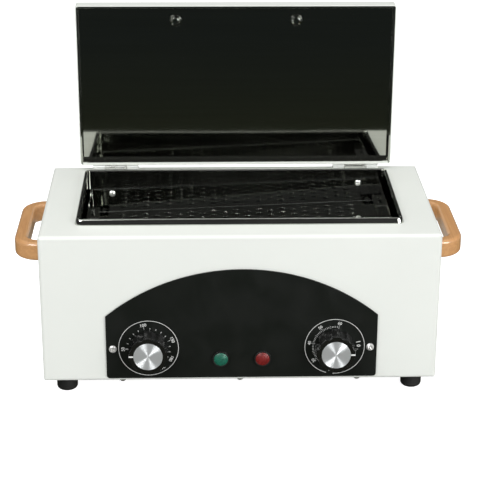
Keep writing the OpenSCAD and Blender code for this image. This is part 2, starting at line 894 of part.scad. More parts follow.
module timer() {
    back = sheet_t + plate_t + timer_l;
    color("lightgray") in_frame() on_panel(dial_x, dial_z) difference() {
        union() {
            translate([0, 0, -sheet_t]) control_bush();
            translate([0, 0, -sheet_t - plate_t]) linear_extrude(plate_t)
                square([plate_w, plate_h], center = true);
            translate([0, 0, -back]) cylinder(r = timer_r, h = timer_l);
            for (x = [-1, 1]) {
                blade(x * blade_w, 0, -back);
            }
        }
        control_bore();
    }
}

module control_nuts() {
    color("goldenrod") in_frame() for (x = [-1, 1]) {
        on_panel(x * dial_x, dial_z) translate([0, 0, panel_t])
            hex_nut(nut_across_r, nut_t, bush_r);
    }
}

// Temperature feeler in the heated space, and the thin tube that joins it
module thermostat_bulb() {
    color("peru") in_frame() translate([bulb_start_x, bulb_y, bulb_z])
        rotate([0, 90, 0]) cylinder(r = bulb_r, h = bulb_l);
}

module capillary_tube() {
    start_y = sheet_t + plate_t + thermostat_l + bellows_l;
    b = capillary_bend_r;
    color("peru") in_frame() translate([panel_x - dial_x, 0, 0]) {
        translate([0, bulb_y - b, dial_z]) rotate([90, 0, 0])
            cylinder(r = capillary_r, h = bulb_y - b - start_y, $fn = 24);
        translate([0, bulb_y - b, dial_z + b]) rotate([0, 90, 0])
            rotate_extrude(angle = 90, $fn = 24) translate([b, 0]) circle(capillary_r);
        translate([0, bulb_y, dial_z + b])
            cylinder(r = capillary_r, h = bulb_z - dial_z - 2 * b, $fn = 24);
        translate([b, bulb_y, bulb_z - b]) rotate([90, 0, 180])
            rotate_extrude(angle = 90, $fn = 24) translate([b, 0]) circle(capillary_r);
        translate([b, bulb_y, bulb_z]) rotate([0, 90, 0])
            cylinder(r = capillary_r, h = bulb_start_x - (panel_x - dial_x) - b, $fn = 24);
    }
}

// Safety cut-out clipped under the chamber floor
module thermal_cutout() {
    color("#303030") in_frame()
        translate([heater_bend_x - cutout_inset, chamber_mid_y + cutout_side, liner_under_z]) {
        translate([0, 0, -cutout_l]) cylinder(r = cutout_r, h = cutout_l);
        translate([-cutout_ear_w / 2, -cutout_ear_h / 2, -cutout_ear_t])
            cube([cutout_ear_w, cutout_ear_h, cutout_ear_t]);
    }
}

// One fluted knob, its foot at z = 0 and its face towards +Z
module knob() {
    flute_r = (pow(flute_w / 2, 2) + pow(flute_depth, 2)) / (2 * flute_depth);
    difference() {
        cylinder(r1 = knob_r, r2 = knob_face_r, h = knob_l, $fn = 96);
        for (i = [0 : flutes - 1]) {
            rotate([0, 0, (i + 0.5) * 360 / flutes])
                translate([knob_r - flute_depth + flute_r, 0, -1])
                    cylinder(r = flute_r, h = knob_l + 2);
        }
        translate([0, 0, -1]) cylinder(r = knob_hollow_r, h = knob_hollow_l + 1);
        cylinder(r = spindle_r, h = spindle_out);
        translate([0, 0, knob_l - cap_t + cap_proud]) cylinder(r = cap_r, h = cap_t + 1);
    }
}

module knob_cap() {
    translate([0, 0, knob_l - cap_t + cap_proud]) cylinder(r = cap_r, h = cap_t, $fn = 96);
}

module spindle() {
    translate([0, 0, -panel_t - knob_gap - spindle_in])
        cylinder(r = spindle_r, h = panel_t + knob_gap + spindle_in + spindle_out);
}

module at_knob(side) {
    on_panel(side * dial_x, dial_z) translate([0, 0, panel_t + knob_gap]) children();
}

module temperature_knob() { color("#171815") in_frame() at_knob(-1) knob(); }
module temperature_knob_cap() { color("lightgray") in_frame() at_knob(-1) knob_cap(); }
module temperature_spindle() { color("silver") in_frame() at_knob(-1) spindle(); }
module timer_knob() { color("#171815") in_frame() at_knob(1) knob(); }
module timer_knob_cap() { color("lightgray") in_frame() at_knob(1) knob_cap(); }
module timer_spindle() { color("silver") in_frame() at_knob(1) spindle(); }

// Pilot lamp: bezel, threaded barrel and two blades, hollow for the lens
module pilot_lamp() {
    difference() {
        union() {
            translate([0, 0, panel_t]) cylinder(r = bezel_r, h = bezel_h);
            translate([0, 0, panel_t - lamp_l]) cylinder(r = lamp_barrel_r, h = lamp_l);
            for (y = [-1, 1]) {
                translate([-lamp_blade_w / 2, y * lamp_blade_y - blade_t / 2,
                    panel_t - lamp_l - lamp_blade_l])
                    cube([lamp_blade_w, blade_t, lamp_blade_l]);
            }
        }
        translate([0, 0, panel_t + bezel_h - lens_seat]) cylinder(r = lens_r, h = lens_seat + 1);
    }
}

// Domed lens seated in the bezel
module pilot_lens() {
    foot_z = panel_t + bezel_h - lens_seat;
    dome_h = lens_h - bezel_h;
    dome_r = (lens_r * lens_r + dome_h * dome_h) / (2 * dome_h);
    translate([0, 0, foot_z]) cylinder(r = lens_r, h = lens_seat);
    intersection() {
        translate([0, 0, panel_t + lens_h - dome_r]) sphere(dome_r);
        translate([0, 0, foot_z]) cylinder(r = lens_r, h = lens_h);
    }
}

module green_lamp() { color("#20221e") in_frame() on_panel(-lamp_x, lamp_z) pilot_lamp(); }
module green_lens() { color("seagreen") in_frame() on_panel(-lamp_x, lamp_z) pilot_lens(); }
module red_lamp() { color("#20221e") in_frame() on_panel(lamp_x, lamp_z) pilot_lamp(); }
module red_lens() { color("firebrick") in_frame() on_panel(lamp_x, lamp_z) pilot_lens(); }

module lamp_nuts() {
    color("#20221e") in_frame() for (x = [-1, 1]) {
        on_panel(x * lamp_x, lamp_z) translate([0, 0, -sheet_t - lamp_nut_t])
            hex_nut(lamp_nut_r, lamp_nut_t, lamp_barrel_r);
    }
}

// Mains inlet in the rear panel
module at_inlet() { translate([0, body_d, inlet_z]) facing_back() translate([inlet_x, 0, 0]) children(); }

module socket_outline() {
    w = socket_w / 2;
    h = socket_h / 2;
    polygon([
        [-w, -h], [w, -h], [w, h - socket_chamfer], [w - socket_chamfer, h],
        [-w + socket_chamfer, h], [-w, h - socket_chamfer]
    ]);
}

module inlet_pin_places() {
    for (x = [-1, 1]) {
        translate([x * pin_spread, -pin_rise]) children();
    }
    translate([0, earth_drop]) children();
}

module power_inlet() {
    face_z = cover_t + inlet_flange_t;
    color("#1a1a1a") in_frame() at_inlet() difference() {
        union() {
            translate([0, 0, cover_t]) linear_extrude(inlet_flange_t)
                rounded_rect(inlet_flange_w, inlet_flange_h, inlet_corner_r);
            translate([0, 0, cover_t - inlet_body_l]) linear_extrude(inlet_body_l)
                square([inlet_body_w, inlet_body_h], center = true);
        }
        translate([0, 0, face_z - socket_depth]) linear_extrude(socket_depth + 1)
            socket_outline();
        for (x = [-1, 1]) {
            translate([x * inlet_pitch / 2, 0, 0])
                cylinder(r = small_shank_r + hole_play, h = face_z + 1);
        }
        translate([0, 0, face_z - socket_depth - pin_overlap - 1])
            linear_extrude(pin_overlap + 2) inlet_pin_places()
                square([pin_t, pin_w], center = true);
    }
}

module inlet_pins() {
    face_z = cover_t + inlet_flange_t;
    color("silver") in_frame() at_inlet()
        translate([0, 0, face_z - socket_depth - pin_overlap - pin_tail])
            linear_extrude(pin_overlap + pin_tail + pin_l) inlet_pin_places()
                square([pin_t, pin_w], center = true);
}

module inlet_screws() {
    color("silver") in_frame() at_inlet() for (x = [-1, 1]) {
        translate([x * inlet_pitch / 2, 0, cover_t + inlet_flange_t])
            pan_screw(small_head_r, small_head_h, small_shank_r, inlet_flange_t + cover_t + thread_tail);
    }
}

// Wooden bow: two short arms, two round corners and a bar, one rounded
// section all the way. It stands on z = 0 and its length runs along X.
module grip_section() { rounded_rect(grip_t, grip_h, grip_edge_r); }

module bow(len, reach) {
    arm = reach - bow_r;
    corner_x = len / 2 - bow_r;
    for (s = [0, 1]) {
        mirror([s, 0, 0]) {
            translate([len / 2 - grip_t / 2, 0, 0]) linear_extrude(arm) grip_section();
            translate([corner_x, 0, arm]) rotate([90, 0, 0]) rotate_extrude(angle = 90)
                translate([bow_r - grip_t / 2, 0]) grip_section();
        }
    }
    translate([-corner_x, 0, reach - grip_t / 2]) rotate([0, 90, 0])
        linear_extrude(2 * corner_x) grip_section();
}

module bow_with_holes(len, reach) {
    difference() {
        bow(len, reach);
        for (s = [-1, 1]) {
            translate([s * (len - grip_t) / 2, 0, -1])
                cylinder(r = handle_shank_r, h = handle_screw_depth + 1);
        }
    }
}

module side_handle_left() {
    color("burlywood") in_frame()
        translate([-side_wall_x, body_d / 2, body_h - side_handle_drop]) facing_left()
            bow_with_holes(side_handle_len, side_handle_reach);
}

module side_handle_right() {
    color("burlywood") in_frame()
        translate([side_wall_x, body_d / 2, body_h - side_handle_drop]) facing_right()
            bow_with_holes(side_handle_len, side_handle_reach);
}

module side_handle_screws() {
    color("silver") in_frame() side_screw_places() for (s = [-1, 1]) {
        translate([s * (side_wall_x - sheet_t), 0, 0]) rotate([0, -s * 90, 0])
            pan_screw(handle_head_r, handle_head_h, handle_shank_r,
                sheet_t + handle_screw_depth);
    }
}

// Hinges. Each has a leaf on the housing with two outer knuckles, a leaf
// under the open lid's edge with the middle knuckle, and a pin.

module at_hinges() { for (x = [-1, 1]) translate([x * hinge_x, hinge_y, hinge_z]) children(); }
module at_hinge(side) { translate([side * hinge_x, hinge_y, hinge_z]) children(); }

module knuckle(from, to) {
    translate([from, 0, 0]) rotate([0, 90, 0]) cylinder(r = knuckle_r, h = to - from);
}

module hinge_bore() {
    translate([-hinge_len / 2 - 1, 0, 0]) rotate([0, 90, 0])
        cylinder(r = hinge_pin_r + running_fit, h = hinge_len + 2);
}

module hinge_base() {
    half = hinge_len / 2;
    mid = knuckle_mid / 2 + knuckle_play;
    color("lightgray") difference() {
        union() {
            translate([-half, 0, body_h - hinge_z]) cube([hinge_len, base_leaf_l, leaf_t]);
            knuckle(-half, half);
        }
        translate([-mid, -knuckle_r - 1, -knuckle_r - knuckle_gap - 1])
            cube([2 * mid, 2 * knuckle_r + knuckle_gap + 1, 3 * knuckle_r + 1]);
        hinge_bore();
        for (x = [-1, 1]) {
            translate([x * base_screw_x, base_screw_y, body_h - hinge_z - 1])
                cylinder(r = hinge_screw_r, h = leaf_t + 2);
        }
    }
}

module hinge_screw_holes() {
    at_hinges() for (x = [-1, 1]) {
        translate([x * base_screw_x, base_screw_y, body_h - hinge_z - sheet_t - 1])
            cylinder(r = hinge_screw_r, h = sheet_t + 2);
    }
}

module hinge_base_left() { in_frame() at_hinge(-1) hinge_base(); }
module hinge_base_right() { in_frame() at_hinge(1) hinge_base(); }

module hinge_pins() {
    color("gray") in_frame() at_hinges() translate([-hinge_len / 2, 0, 0]) rotate([0, 90, 0])
        cylinder(r = hinge_pin_r, h = hinge_len);
}

module hinge_screws() {
    color("silver") in_frame() at_hinges() for (x = [-1, 1]) {
        translate([x * base_screw_x, base_screw_y, body_h - hinge_z + leaf_t])
            pan_screw(hinge_head_r, hinge_head_h, hinge_screw_r, leaf_t + hinge_screw_l);
    }
}

module hinge_leaf() {
    half = hinge_len / 2;
    mid = knuckle_mid / 2;
    slot = mid + knuckle_play;
    leaf_z = lid_edge_z - hinge_z - leaf_t;
    color("lightgray") difference() {
        union() {
            translate([-half, 0, leaf_z]) cube([hinge_len, lid_leaf_l, leaf_t]);
            knuckle(-mid, mid);
            translate([-mid, 0, 0]) cube([knuckle_mid, knuckle_r, leaf_z + leaf_t / 2]);
        }
        for (s = [0, 1]) {
            mirror([s, 0, 0]) translate([mid, -1, leaf_z - 1])
                cube([half - mid + 1, knuckle_r + 1 + knuckle_gap, leaf_t + 2]);
        }
        hinge_bore();
        for (x = [-1, 1]) {
            translate([x * rivet_x, rivet_y, leaf_z - 1]) cylinder(r = rivet_shank_r, h = leaf_t + 2);
        }
    }
}

module hinge_leaf_left() { in_frame() at_hinge(-1) hinge_leaf(); }
module hinge_leaf_right() { in_frame() at_hinge(1) hinge_leaf(); }

// Domed rivets through the lid's leaf; open, their heads rest on the base leaf
module hinge_rivets() {
    leaf_z = lid_edge_z - hinge_z - leaf_t;
    color("silver") in_frame() at_hinges() for (x = [-1, 1]) {
        translate([x * rivet_x, rivet_y, leaf_z]) {
            mirror([0, 0, 1]) intersection() {
                cylinder(r = rivet_head_r, h = rivet_head_h);
                translate([0, 0, rivet_head_h - rivet_head_ball_r]) sphere(rivet_head_ball_r);
            }
            cylinder(r = rivet_shank_r, h = leaf_t + lid_sheet_t);
            translate([0, 0, leaf_t + lid_sheet_t]) cylinder(r = rivet_tail_r, h = rivet_tail_t);
        }
    }
}

// The lid's outer shell: a shallow folded box, open towards the chamber, with
// a narrow hem turned in along the hinge side. Standing open, its rim is y = 0.
module lid_shell() {
    color("whitesmoke") in_frame() in_lid() difference() {
        union() {
            difference() {
                lid_block(0);
                lid_block(lid_sheet_t);
            }
            translate([-lid_w / 2 + lid_bend_r, 0, 0]) cube([lid_w - 2 * lid_bend_r, recess_t, rim_w]);
        }
        lid_handle_holes(handle_shank_r + hole_play);
        for (s = [-1, 1], x = [-1, 1]) {
            translate([s * hinge_x + x * rivet_x, hinge_y + rivet_y - rim_y, -1])
                cylinder(r = rivet_shank_r, h = lid_sheet_t + 2);
        }
    }
}

// Block of the lid, shrunk by t on every side but the open one
module lid_block(t) {
    r = lid_bend_r - t;
    over = t > 0 ? 2 * lid_bend_r : 0;
    intersection() {
        translate([0, -over - lid_bend_r, t])
            folded_block(lid_w - 2 * t, lid_t - t + over + lid_bend_r, lid_d - 2 * t, r);
        translate([-lid_w, -over, -lid_d]) cube([2 * lid_w, 2 * lid_t + over, 3 * lid_d]);
    }
}

// Holes for the handle's screws, through every layer of the lid
module lid_handle_holes(r) {
    for (x = [-1, 1]) {
        translate([x * lid_handle_pitch / 2, lid_t + 1, lid_handle_z]) rotate([90, 0, 0])
            cylinder(r = r, h = lid_t + 2);
    }
}

// Polished lining: a recessed pan with a flange on its three free sides
module lid_lining() {
    inner_d = lid_d - 2 * rim_w;
    flange_out = rim_w - lid_sheet_t;
    color("gray") in_frame() in_lid() difference() {
        union() {
            translate([-lid_rim_inner_w / 2 - recess_t, 0, rim_w])
                cube([lid_rim_inner_w + 2 * recess_t, recess_depth + recess_t, inner_d + recess_t]);
            intersection() {
                translate([-lid_rim_inner_w / 2 - flange_out, 0, rim_w])
                    cube([lid_rim_inner_w + 2 * flange_out, recess_t, inner_d + flange_out]);
                lid_block(lid_sheet_t);
            }
        }
        translate([-lid_rim_inner_w / 2, -1, rim_w + recess_t])
            cube([lid_rim_inner_w, recess_depth + 1, inner_d - recess_t]);
        lid_handle_holes(handle_shank_r + hole_play);
    }
}

module lid_insulation() {
    t = lid_t - lid_sheet_t - recess_depth - recess_t;
    edge = rim_w + 1;
    color("khaki") in_frame() in_lid() difference() {
        translate([-lid_w / 2 + edge, recess_depth + recess_t, edge])
            cube([lid_w - 2 * edge, t, lid_d - 2 * edge]);
        lid_handle_holes(handle_shank_r + hole_play);
    }
}

module at_lid_handle() { translate([0, lid_t, lid_handle_z]) facing_back() children(); }

module lid_handle() {
    color("burlywood") in_frame() in_lid() at_lid_handle()
        bow_with_holes(lid_handle_len, lid_handle_reach);
}

module lid_handle_screws() {
    through = lid_t - recess_depth + washer_t;
    color("silver") in_frame() in_lid() for (x = [-1, 1]) {
        translate([x * lid_handle_pitch / 2, recess_depth - washer_t, lid_handle_z])
            facing_front() pan_screw(handle_head_r, handle_head_h, handle_shank_r,
                through + handle_screw_depth);
    }
}

module lid_handle_washers() {
    color("silver") in_frame() in_lid() for (x = [-1, 1]) {
        translate([x * lid_handle_pitch / 2, recess_depth, lid_handle_z]) facing_front()
            difference() {
                cylinder(r = washer_r, h = washer_t);
                translate([0, 0, -1]) cylinder(r = handle_shank_r + hole_play, h = washer_t + 2);
            }
    }
}

housing();
base_plate();
rear_panel();
foot_front_left();
foot_front_right();
foot_rear_left();
foot_rear_right();
foot_screws();
foot_nuts();
base_screws();
rear_panel_screws();
chamber_liner();
tray_rests();
tray();
tray_rivets();
heater_element();
heater_terminals();
heater_clips();
insulation_wrap();
insulation_base();
control_panel();
panel_screws();
thermostat();
thermostat_bulb();
capillary_tube();
thermal_cutout();
timer();
control_nuts();
temperature_knob();
temperature_knob_cap();
temperature_spindle();
timer_knob();
timer_knob_cap();
timer_spindle();
green_lamp();
green_lens();
red_lamp();
red_lens();
lamp_nuts();
power_inlet();
inlet_pins();
inlet_screws();
side_handle_left();
side_handle_right();
side_handle_screws();
hinge_base_left();
hinge_base_right();
hinge_pins();
hinge_screws();
hinge_leaf_left();
hinge_leaf_right();
hinge_rivets();
lid_shell();
lid_lining();
lid_insulation();
lid_handle();
lid_handle_screws();
lid_handle_washers();
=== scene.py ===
"""Looks of a small dry heat sterilizer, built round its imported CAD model.

The housing, chamber, lid, controls and handles keep their CAD shapes and get
procedural materials. The printed dial scales, the knobs' pointer lines, the
roll over the chamber's collar and the panel screws' crosses are added here.
Metres, +X right, +Y back, +Z up, the same frame as the CAD model.
"""

import json
import logging
import math
from dataclasses import dataclass, replace
from enum import Enum
from typing import Callable, Iterable, Mapping, Sequence

import bmesh
import bpy
from bpy.types import Material, Mesh, Node, NodeSocket, NodeTree, Object
from mathutils import Matrix, Vector

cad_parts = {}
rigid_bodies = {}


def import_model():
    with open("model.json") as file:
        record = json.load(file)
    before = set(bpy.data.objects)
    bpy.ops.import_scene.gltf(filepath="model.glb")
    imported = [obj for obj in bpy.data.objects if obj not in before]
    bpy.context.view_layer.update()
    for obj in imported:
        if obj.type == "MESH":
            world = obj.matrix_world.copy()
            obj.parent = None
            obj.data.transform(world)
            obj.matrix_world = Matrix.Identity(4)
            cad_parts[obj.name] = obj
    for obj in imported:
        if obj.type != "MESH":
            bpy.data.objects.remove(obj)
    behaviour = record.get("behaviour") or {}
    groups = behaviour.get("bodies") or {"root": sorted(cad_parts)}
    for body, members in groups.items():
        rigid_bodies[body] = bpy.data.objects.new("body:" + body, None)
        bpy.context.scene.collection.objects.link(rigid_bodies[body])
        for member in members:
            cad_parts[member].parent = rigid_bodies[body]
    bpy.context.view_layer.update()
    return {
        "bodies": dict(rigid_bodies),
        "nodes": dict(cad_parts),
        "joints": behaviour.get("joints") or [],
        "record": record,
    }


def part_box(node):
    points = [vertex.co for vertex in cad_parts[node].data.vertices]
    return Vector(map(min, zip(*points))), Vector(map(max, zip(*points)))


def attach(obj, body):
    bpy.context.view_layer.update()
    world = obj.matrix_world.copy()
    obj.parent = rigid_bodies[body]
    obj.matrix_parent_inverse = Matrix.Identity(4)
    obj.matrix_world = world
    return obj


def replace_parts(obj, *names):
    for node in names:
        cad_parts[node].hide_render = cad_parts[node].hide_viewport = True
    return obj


LOG = logging.getLogger("sterilizer")
# The record's slot named for the print, kept as the builders' SLOT; no piece is put under it here
PRINT_SLOT = "white_enamel"
# Share of a font's size that its capitals are high
CAPITAL_SHARE = 0.7

Colour = tuple[float, float, float]
Point = tuple[float, float, float]
Form = bmesh.types.BMesh
# What an input takes: a number, a vector or colour, or another node's socket
Feed = float | Sequence[float] | NodeSocket
Sockets = Mapping[str, NodeSocket]
# A surface's shade mask, roughness mask and height, and a tangent where it is spun
Surface = tuple[NodeSocket, NodeSocket, NodeSocket, NodeSocket | None]


class Pattern(Enum):
    """The kind of surface that a finish has."""

    ENAMEL = "enamel"
    SATIN = "satin"
    STREAKED = "streaked"
    SPUN = "spun"
    WOOD = "wood"
    PEBBLED = "pebbled"
    FIBROUS = "fibrous"
    MIRROR = "mirror"


@dataclass(frozen=True)
class Finish:
    """The look of one material.

    Args:
        pattern: kind of surface.
        base: main colour, linear.
        roughness: lowest and highest roughness over the surface.
        metallic: 1 for bare metal.
        coat: weight of the clear coat.
        coat_roughness: roughness of that coat.
        specular: specular level of the base.
        shade: second colour, where the surface varies.
        shade_share: how much of the second colour the variation brings.
        size: size of the pattern's features.
        depth: height of the pattern's relief.
        edge: radius by which sharp edges look softened.
        stretch: how far the pattern is drawn out along each axis.
        centre: axis point of a spun pattern.
        anisotropy: stretch of a spun surface's highlights.
    """

    pattern: Pattern
    base: Colour
    roughness: tuple[float, float]
    metallic: float = 0.0
    coat: float = 0.0
    coat_roughness: float = 0.08
    specular: float = 0.5
    shade: Colour | None = None
    shade_share: float = 0.5
    size: float = 0.002
    depth: float = 0.00001
    edge: float = 0.0003
    stretch: Point = (1.0, 1.0, 1.0)
    centre: Point = (0.0, 0.0, 0.0)
    anisotropy: float = 0.0


LEFT_DIAL: Point = (-0.0719, -0.08895, 0.0422)
RIGHT_DIAL: Point = (0.0741, -0.08895, 0.0422)

SHEET_STEEL = Finish(
    Pattern.STREAKED, (0.56, 0.575, 0.54), (0.05, 0.13), metallic=1.0,
    shade=(0.46, 0.47, 0.43), size=0.0012, depth=0.0000012,
    stretch=(0.03, 1.0, 1.0),
)
# Spun aluminium of the knob caps: its diffuse share is painted sheen that keeps the caps pale
# under any light, while the fans across the rings come from the lamps
SPUN_CAP = Finish(
    Pattern.SPUN, (0.84, 0.87, 0.88), (0.36, 0.44), metallic=0.65, size=0.00025,
    depth=0.0000015, anisotropy=1.0, edge=0.0002,
)
LENS = Finish(
    Pattern.PEBBLED, (0.008, 0.16, 0.095), (0.4, 0.5), coat=0.12, coat_roughness=0.3,
    specular=0.3, shade=(0.003, 0.06, 0.04), shade_share=0.8, size=0.0011, depth=0.00008,
)
BEECH = Finish(
    Pattern.WOOD, (0.72, 0.39, 0.16), (0.3, 0.42), coat=0.9, coat_roughness=0.14,
    shade=(0.5, 0.22, 0.075), shade_share=0.6, size=0.0022, edge=0.0004,
)

FINISHES: dict[str, Finish] = {
    "white_enamel": Finish(
        Pattern.ENAMEL, (0.82, 0.845, 0.8), (0.34, 0.44), coat=0.2, coat_roughness=0.25,
        shade=(0.77, 0.795, 0.75), shade_share=0.3, size=0.0011, depth=0.000006, edge=0.0006,
    ),
    "grey_enamel": Finish(
        Pattern.ENAMEL, (0.42, 0.43, 0.41), (0.38, 0.48), coat=0.2, shade=(0.36, 0.37, 0.35),
        shade_share=0.4, size=0.0011, depth=0.000008,
    ),
    "black_panel": Finish(
        Pattern.SATIN, (0.0062, 0.0082, 0.0064), (0.34, 0.46), shade=(0.010, 0.0115, 0.0098),
        shade_share=0.6, size=0.0005, depth=0.000006, edge=0.0002, specular=0.3,
    ),
    "black_plastic": Finish(
        Pattern.SATIN, (0.011, 0.011, 0.01), (0.32, 0.5), shade=(0.02, 0.02, 0.019),
        shade_share=0.4, size=0.0006, depth=0.000012,
    ),
    "knob_black": Finish(
        Pattern.SATIN, (0.007, 0.0072, 0.0066), (0.2, 0.32), coat=0.8, coat_roughness=0.12,
        shade=(0.012, 0.012, 0.011), shade_share=0.12, size=0.0005, depth=0.000008, edge=0.0005,
    ),
    "rubber": Finish(
        Pattern.SATIN, (0.012, 0.012, 0.0115), (0.55, 0.75), shade=(0.03, 0.029, 0.027),
        shade_share=0.35, size=0.0008, depth=0.00003, edge=0.0005, specular=0.35,
    ),
    "grey_casing": Finish(
        Pattern.SATIN, (0.4, 0.4, 0.38), (0.4, 0.55), shade=(0.34, 0.34, 0.32),
        shade_share=0.4, size=0.0007,
    ),
    "ceramic": Finish(
        Pattern.SATIN, (0.74, 0.7, 0.62), (0.5, 0.7), shade=(0.6, 0.56, 0.48),
        size=0.0009, depth=0.00002,
    ),
    "polished_steel": SHEET_STEEL,
    "mirror_steel": Finish(
        Pattern.MIRROR, (0.52, 0.53, 0.48), (0.025, 0.06), metallic=1.0,
        shade=(0.44, 0.45, 0.4), size=0.06, depth=0.00005,
        centre=(0.0, 0.0, 0.275), edge=0.0002,
    ),
    # Steel of the hinge knuckles, paler and half-diffuse: painted sheen in place of the knuckles'
    # reflections
    "hinge_steel": Finish(
        Pattern.STREAKED, (0.88, 0.89, 0.88), (0.24, 0.36), metallic=0.55,
        shade=(0.7, 0.71, 0.7), shade_share=0.4, size=0.0008, depth=0.000004,
        stretch=(0.1, 1.0, 1.0), edge=0.0002,
    ),
    "zinc_steel": Finish(
        Pattern.SATIN, (0.7, 0.7, 0.68), (0.2, 0.38), metallic=1.0, shade=(0.52, 0.53, 0.54),
        size=0.0009, depth=0.000005, edge=0.0002,
    ),
    # Paler, half-diffuse copy of the zinc steel for the panel screw heads: painted sheen in place
    # of their reflections
    "painted_sheen_screw": Finish(
        Pattern.SATIN, (0.88, 0.88, 0.86), (0.25, 0.35), metallic=0.6, shade=(0.7, 0.7, 0.68),
        shade_share=0.4, size=0.0009, depth=0.000003, edge=0.00015,
    ),
    # Darker copy of the sheet steel for the chamber's liner and tray rests: painted shade of the
    # chamber's inside
    "shaded_chamber_steel": replace(SHEET_STEEL, base=(0.34, 0.35, 0.325), roughness=(0.05, 0.12),
                             shade=(0.28, 0.29, 0.265), depth=0.0000008),
    "tray_steel": replace(SHEET_STEEL, base=(0.52, 0.53, 0.5), roughness=(0.02, 0.05),
                          shade=(0.44, 0.45, 0.42), depth=0.0000004),
    "heater_sheath": Finish(
        Pattern.STREAKED, (0.16, 0.15, 0.15), (0.35, 0.55), metallic=1.0,
        shade=(0.22, 0.14, 0.09), shade_share=0.6, depth=0.000005,
    ),
    "brass": Finish(
        Pattern.SATIN, (0.62, 0.44, 0.17), (0.25, 0.42), metallic=1.0,
        shade=(0.45, 0.3, 0.12), size=0.001, depth=0.000005,
    ),
    "copper": Finish(
        Pattern.SATIN, (0.62, 0.3, 0.17), (0.28, 0.45), metallic=1.0,
        shade=(0.36, 0.17, 0.1), depth=0.000004,
    ),
    "left_cap": replace(SPUN_CAP, centre=LEFT_DIAL),
    "right_cap": replace(SPUN_CAP, centre=RIGHT_DIAL),
    "green_lens": LENS,
    "red_lens": replace(LENS, base=(0.24, 0.009, 0.007), shade=(0.1, 0.004, 0.004)),
    "side_wood": replace(BEECH, stretch=(1.0, 0.06, 1.0)),
    "lid_wood": replace(BEECH, stretch=(0.06, 1.0, 1.0)),
    "mineral_wool": Finish(
        Pattern.FIBROUS, (0.5, 0.42, 0.2), (0.85, 0.98), shade=(0.32, 0.26, 0.11),
        shade_share=0.7, size=0.0025, depth=0.0004, specular=0.2,
    ),
    "white_print": Finish(
        Pattern.SATIN, (0.76, 0.77, 0.75), (0.5, 0.65), shade=(0.6, 0.61, 0.6),
        size=0.0004, depth=0.000004, specular=0.3, edge=0.00005,
    ),
}

# Nodes whose finish isn't the one named like their material slot
OWN_FINISH: dict[str, str] = {
    "temperature_knob_cap": "left_cap",
    "timer_knob_cap": "right_cap",
    "side_handle_left": "side_wood",
    "side_handle_right": "side_wood",
    "lid_handle": "lid_wood",
    "hinge_leaf_left": "zinc_steel",
    "hinge_leaf_right": "zinc_steel",
    "tray": "tray_steel",
    # The chamber's liner and rests take the darker steel, which is painted shade
    "chamber_liner": "shaded_chamber_steel",
    "tray_rests": "shaded_chamber_steel",
    "lid_handle_screws": "polished_steel",
    "lid_handle_washers": "tray_steel",
}


class NodeSketch:
    """Adds and joins nodes in one node tree.

    Args:
        tree: the tree to draw in.
    """

    def __init__(self, tree: NodeTree) -> None:
        """Keeps the tree."""
        self.tree = tree

    def add(self, kind: str, inputs: dict | None = None, **settings: object) -> Node:
        """Adds a node.

        Args:
            kind: the node's type name.
            inputs: values or sockets for its inputs, by name or number.
            settings: the node's own properties.

        Returns:
            The new node.
        """
        node = self.tree.nodes.new(kind)
        for name, value in settings.items():
            setattr(node, name, value)
        self.feed(node, inputs or {})
        return node

    def feed(self, node: Node, inputs: dict) -> None:
        """Joins or sets inputs of a node.

        Args:
            node: the node.
            inputs: values or sockets for its inputs, by name or number.
        """
        for name, value in inputs.items():
            if isinstance(value, NodeSocket):
                self.tree.links.new(value, node.inputs[name])
            else:
                node.inputs[name].default_value = value

    def math(self, operation: str, *values: Feed, kind: str = "ShaderNodeMath") -> NodeSocket:
        """Adds a Math node.

        Args:
            operation: its operation.
            values: its inputs, in order.
            kind: the node's type name.

        Returns:
            The result's socket.
        """
        return self.add(kind, dict(enumerate(values)), operation=operation).outputs[0]

    def vector(self, operation: str, *values: Feed) -> NodeSocket:
        """Adds a Vector Math node, and is otherwise like math()."""
        return self.math(operation, *values, kind="ShaderNodeVectorMath")

    def ranged(self, value: Feed, source: tuple[float, float],
               low: Feed = 0.0, high: Feed = 1.0) -> NodeSocket:
        """Maps a value to another range.

        Args:
            value: the socket to map.
            source: range that the value comes in.
            low: result at the source's low end.
            high: result at the source's high end.

        Returns:
            The result's socket.
        """
        return self.add("ShaderNodeMapRange", {
            "Value": value, "From Min": source[0], "From Max": source[1],
            "To Min": low, "To Max": high,
        }).outputs["Result"]

    def mixed(self, factor: Feed, first: Feed, second: Feed) -> NodeSocket:
        """Mixes two colours.

        Args:
            factor: share of the second colour.
            first: colour at factor 0.
            second: colour at factor 1.

        Returns:
            The mixed colour's socket.
        """
        return self.add("ShaderNodeMix", {"Factor": factor, 6: first, 7: second},
                        data_type="RGBA").outputs[2]

    def noise(self, vector: Feed, scale: Feed, detail: float,
              distortion: float = 0.0) -> NodeSocket:
        """Adds a noise texture.

        Args:
            vector: place to read it at.
            scale: number of features in a metre.
            detail: number of finer layers.
            distortion: how far it is twisted.

        Returns:
            The value's socket.
        """
        return self.add("ShaderNodeTexNoise", {
            "Vector": vector, "Scale": scale, "Detail": detail, "Distortion": distortion,
        }).outputs[0]


FLOAT = "NodeSocketFloat"
VECTOR = "NodeSocketVector"
COLOUR = "NodeSocketColor"


